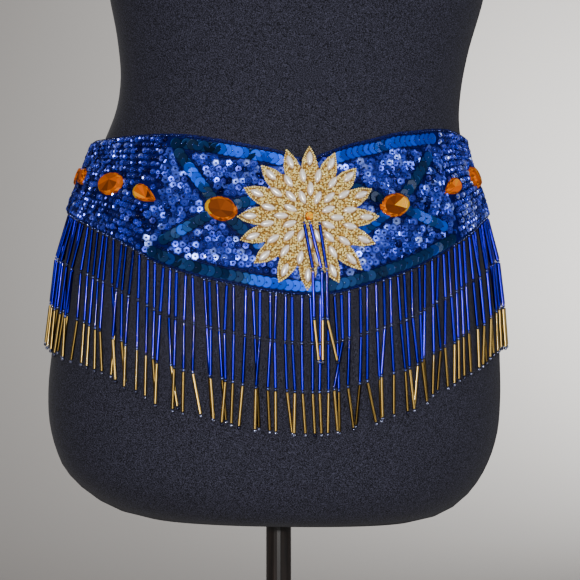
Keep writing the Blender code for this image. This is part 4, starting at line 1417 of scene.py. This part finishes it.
def add_gold_beads(seed):
    """Short bullion chips wherever no pearl lies, and a row of them round each petal."""
    rng = np.random.default_rng(seed)
    grid = np.arange(-MEDALLION_RADIUS, MEDALLION_RADIUS, GOLD_PITCH)
    x, y = (g.ravel() for g in np.meshgrid(grid, grid))
    x = x + rng.normal(0.0, CHIP_STRAY, len(x))
    y = y + rng.normal(0.0, CHIP_STRAY, len(y))
    keep = inside_star(x, y, CHIP_INSET) & (np.hypot(x, y) > CHIP_CENTRE)
    for px, py, angle in pearl_places():
        down = (x - px) * math.sin(angle) + (y - py) * math.cos(angle)
        across = (x - px) * math.cos(angle) - (y - py) * math.sin(angle)
        keep &= (down / (PEARL[0] / 2)) ** 2 + (across / (PEARL[1] / 2)) ** 2 > 1.0
    x, y = x[keep], y[keep]
    count = len(x)
    level = medallion_level(np.hypot(x, y)) + rng.uniform(*CHIP_LEVELS, count)
    along, height = MEDALLION_PLACE
    axes = in_plane(belt_axes(along + x, height + y), rng.uniform(0.0, math.pi, count))
    sizes = np.column_stack((rng.uniform(*CHIP_HALF_LENGTHS, count),
                             np.full((count, 2), CHIP_RADIUS)))
    chips = strew("medallion_bullion", SEED, medallion_points(x, y, level), axes, sizes, GOLD,
                  rng.beta(*CHIP_TONES, count))
    angles, radii = star_outline(EDGE_INSET)
    x = radii * np.sin(angles)
    y = radii * np.cos(angles)
    edge = strew("medallion_edge", SEED, medallion_points(x, y, MEDALLION_RISE * EDGE_LEVEL),
                 belt_axes(along + x, height + y), rng.uniform(*EDGE_RADII, len(x)), GOLD,
                 rng.uniform(*EDGE_TONES, len(x)))


add_medallion_bed()
add_pearls()
add_gold_beads(95)

# ---- the fringe ----------------------------------------------------------------------------
# Strings of glass: a seed bead, two royal blue bugles and one of antique gold with seed beads
# between them, and a navy bead that holds the end. They hang from a strip under the belt.
STRIP_HEIGHT = 0.0013
STRAND_PITCH = 0.0059
STRAND_KNEES = (0.0, 0.0355, 0.0712, 0.1044)     # length down a string to its knees and tip
STRAND_SHIFT = 0.0015        # most stray of a root along the belt
STRAND_CLEARANCE = 0.0024    # from the form to a string's middle
STRAND_LEVEL = 0.0030        # how much further out a string hangs that crosses another
STRAND_TOUCH = 0.0030        # least space between the middles of two on the same level
STRAND_STRAY = (0.0013, 0.0019, 0.0030)          # spread of the sway at the knees and tip
STRAND_SWAY_MOST = 0.0070
STRAND_FOLLOW = 1.3          # how far the second knee carries on the first one's sway
STRAND_CALM = 0.4            # share of the sway that each string in from a row's end gains
STRAND_PUSH = 0.0003         # steps in which the form pushes a string out
STRIP_FOLD = 0.0003          # rounding of the strip's corners
BUGLE_SIDES = 8
# share of a bead's length, share of its radius
BUGLE_PROFILE = ((0.012, 0.80), (0.014, 1.0), (0.986, 1.0), (0.988, 0.80))
ROUND_PROFILE = ((0.04, 0.45), (0.28, 0.98), (0.72, 0.98), (0.96, 0.45))
# length and kind of each bead, from the string's root to its end
STRAND_BEADS = (
    (0.0018, "seed"),
    (0.0327, "blue"),
    (0.0020, "seed"),
    (0.0337, "blue"),
    (0.0020, "seed"),
    (0.0296, "gold"),
    (0.0026, "end"),
)
BEAD_LENGTHS = [length for length, _ in STRAND_BEADS]

BLUE_BUGLE = bead_glass("blue_bugle", (0.0016, 0.0005, 0.065), (0.008, 0.0012, 0.29), 0.28, 1.0,
                        0.15)
GOLD_BUGLE = bead_glass("gold_bugle", (0.030, 0.018, 0.004), (0.40, 0.26, 0.07), 0.29, 1.0, 0.15)
END_SEED = bead_glass("navy_end_bead", (0.004, 0.004, 0.04), (0.40, 0.44, 0.70), 0.12, 0.9, 1.0)
# finish, radius and profile of each kind of bead
BEAD_KINDS = {
    "blue": (BLUE_BUGLE, 0.00130, BUGLE_PROFILE),
    "gold": (GOLD_BUGLE, 0.00130, BUGLE_PROFILE),
    "end": (END_SEED, 0.00140, ROUND_PROFILE),
    "seed": (PALE_SEED, 0.00112, ROUND_PROFILE),
}


def upright(point):
    """A point of the leaning form, moved to where the upright form has it."""
    rise = point[2] - FORM_FOOT
    return (
        point[0] * math.cos(FORM_LEAN) - rise * math.sin(FORM_LEAN),
        point[1],
        FORM_FOOT + rise * math.cos(FORM_LEAN) + point[0] * math.sin(FORM_LEAN),
    )


def outside(point, offset):
    """Whether a point lies outside the leaning form grown by an offset."""
    x, y, z = upright(point)
    half_width, front, back, shift = FORM_CURVE.at(z)[:, 0]
    depth = front if y < 0 else back
    side = abs(x - shift) / (half_width + offset)
    face = abs(y) / (depth + offset)
    return side ** FORM_SQUARENESS + face ** FORM_SQUARENESS >= 1.0


def strand_rows(start, stop, seed):
    """Places of the root, the knees and the tip of each string in a row, and its level.

    A string that comes to lie across its neighbour lies on top of it, or under it. The ones
    at the row's ends hang straight, clear of the next row.
    """
    count = round((stop - start) / STRAND_PITCH)
    pitch = (stop - start - SLIP) / count
    rng = random.Random(seed)
    rows = []
    for i in range(count):
        stray = rng.uniform(-STRAND_SHIFT, STRAND_SHIFT)
        place = start + SLIP / 2 + pitch * (i + 0.5) + stray
        first = rng.gauss(0.0, STRAND_STRAY[0])
        second = STRAND_FOLLOW * first + rng.gauss(0.0, STRAND_STRAY[1])
        tip = second + rng.gauss(0.0, STRAND_STRAY[2])
        most = STRAND_SWAY_MOST * min(1.0, STRAND_CALM * i, STRAND_CALM * (count - 1 - i))
        spots = [place] + [place + max(-most, min(sway, most)) for sway in (first, second, tip)]
        level = 0
        if rows:
            last = rows[-1][0]
            spots[1] = max(spots[1], last[1] + STRAND_TOUCH)
            near = min(spots[2] - last[2], spots[3] - last[3]) < STRAND_TOUCH
            level = 1 if near and rows[-1][1] == 0 else 0
        if len(rows) > 1:
            before = rows[-2][0]
            spots[2] = max(spots[2], before[2] + STRAND_TOUCH)
            spots[3] = max(spots[3], before[3] + STRAND_TOUCH)
        rows.append((spots, level))
    return rows


def strand_knots(root, out, clearance, level, sways):
    """Where the beads of one string meet: plumb below its root, but pushed out by the form."""
    side = np.array((-out[1], out[0], 0.0))
    knots = [root]
    reach = 0.0
    fallen = 0.0
    for length in BEAD_LENGTHS:
        fallen += length
        drop = root - np.array((0.0, 0.0, fallen))
        while not outside(drop + out * reach, clearance):
            reach += STRAND_PUSH
        lift = level * min(1.0, fallen / STRAND_KNEES[1])
        sway = np.interp(fallen, STRAND_KNEES, sways)
        knots.append(drop + out * (reach + lift) + side * sway)
    return knots


def bead_between(start, end, kind):
    """One bead between two knots: four rings of points, from its first end to its last."""
    line = end - start
    line = line / np.linalg.norm(line)
    first = np.cross(line, (0.0, 1.0, 0.0))
    first /= np.linalg.norm(first)
    second = np.cross(line, first)
    _, radius, profile = BEAD_KINDS[kind]
    rings = []
    for share, size in profile:
        middle = start + (end - start) * share
        for i in range(BUGLE_SIDES):
            angle = 2 * math.pi * (i + 0.5) / BUGLE_SIDES
            arm = first * math.cos(angle) + second * math.sin(angle)
            rings.append(middle + arm * (radius * size))
    return rings


def add_strings(name, node, strands, seed):
    """All the strings of one strip as one piece, with a finish for each kind of bead."""
    rng = random.Random(seed)
    points = []
    faces = []
    kinds = []
    tones = []
    order = list(BEAD_KINDS)
    pattern = ring_faces(4, BUGLE_SIDES)
    pattern.append(tuple(range(BUGLE_SIDES))[::-1])
    pattern.append(tuple(range(3 * BUGLE_SIDES, 4 * BUGLE_SIDES)))
    for knots in strands:
        for (start, end), (_, kind) in zip(zip(knots, knots[1:]), STRAND_BEADS):
            low = len(points)
            points += bead_between(start, end, kind)
            faces += [tuple(i + low for i in face) for face in pattern]
            kinds += [order.index(kind)] * len(pattern)
            tones += [rng.uniform(0.0, 1.0)] * (4 * BUGLE_SIDES)
    finishes = [finish for finish, _, _ in BEAD_KINDS.values()]
    strings = mesh_piece(name, points, faces, *finishes, face_finish=kinds, tones=tones)
    strings.data.set_sharp_from_angle(angle=math.radians(60))
    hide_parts(node)


def add_strip(name, start, stop):
    """The bound strip that the strings are knotted into."""
    rings = []
    for along in places(start, stop, CLOTH_STEP):
        high = edge_heights(along)[1, 0] - SLIP
        low = high - STRIP_HEIGHT
        one_side = np.array((high, high - STRIP_FOLD, low + STRIP_FOLD, low))
        heights = np.concatenate((one_side, one_side[::-1]))
        offsets = np.array((STRIP_FOLD, 0.0, 0.0, STRIP_FOLD,
                            WALL - STRIP_FOLD, WALL, WALL, WALL - STRIP_FOLD))
        rings.append(belt_points(np.full(len(heights), along), heights, offsets))
    faces = ring_faces(len(rings), 8)
    last = (len(rings) - 1) * 8
    faces.append(tuple(range(8))[::-1])
    faces.append(tuple(range(last, last + 8)))
    strip = mesh_piece(name, np.concatenate(rings), faces, NAVY)


def level_out(along, height):
    """The level direction straight out of the form at a belt place."""
    reach = 0.001
    ends = skin_points(np.array((along - reach, along + reach)), height, 0.0)
    side = ends[1] - ends[0]
    out = np.array((side[1], -side[0], 0.0))
    return out / np.linalg.norm(out)


def add_fringe(name, node, start, stop, seed):
    """One stretch of the fringe: its strings, and the strip that they hang from."""
    strands = []
    for spots, level in strand_rows(start, stop, seed):
        along = spots[0]
        low = edge_heights(along)[1, 0] - SLIP - STRIP_HEIGHT
        root = belt_points(along, low, WALL / 2)[0]
        sways = [spot - along for spot in spots]
        strands.append(strand_knots(root, level_out(along, low), STRAND_CLEARANCE,
                                    level * STRAND_LEVEL, sways))
    add_strings(name, node, strands, seed)
    add_strip(name + "_strip", start + SLIP / 2, stop - SLIP / 2)


add_fringe("fringe_beads_left", "fringe_left", LEFT_END, SEAM_LEFT, 11)
add_fringe("fringe_beads_front", "fringe_front", SEAM_LEFT, SEAM_RIGHT, 12)
add_fringe("fringe_beads_right", "fringe_right", SEAM_RIGHT, RIGHT_END, 13)

# ---- the tassel ----------------------------------------------------------------------------
# Three more strings of the same beads, knotted under the medallion's centre stone. They swing
# to one side and fan out over the fringe.
TASSEL_OFFSET = 0.0108
# shifts of each string's root, two knees and tip from the medallion's middle
TASSEL_STRANDS = (
    (-0.0044, 0.0020, 0.0026, 0.0060),
    (-0.0003, 0.0083, 0.0088, 0.0087),
    (0.0066, 0.0118, 0.0119, 0.0196),
)


def add_tassel():
    """The three strings, rooted in front of the medallion just under its stone."""
    root_height = MEDALLION_PLACE[1] - CENTRE_STONE[0] / 2 - SLIP
    strands = []
    for row in TASSEL_STRANDS:
        along = MEDALLION_PLACE[0] + row[0]
        root = skin_points(along, root_height, TASSEL_OFFSET)[0]
        sways = [shift - row[0] for shift in row]
        strands.append(strand_knots(root, level_out(along, root_height), TASSEL_OFFSET, 0.0, sways))
    add_strings("tassel_beads", "tassel_centre", strands, 41)


add_tassel()

# ---- the closure ---------------------------------------------------------------------------
# Three flat steel hooks, one over the other, are sewn to the wings' ends and hold them
# together at the middle of the back. They keep the solids' shapes.


def hook_steel():
    finish, shader, tree = plain_material("hook_steel", (0.50, 0.50, 0.52), 0.28, 1.0)
    brush = add_grain(tree, 800.0, roughness=(0.20, 0.42))
    tree.links.new(brush.outputs["Roughness"], shader.inputs["Roughness"])
    return finish


HOOK_STEEL = hook_steel()
for number in (1, 2, 3):
    dress_node(f"closure_hook_{number}", HOOK_STEEL)
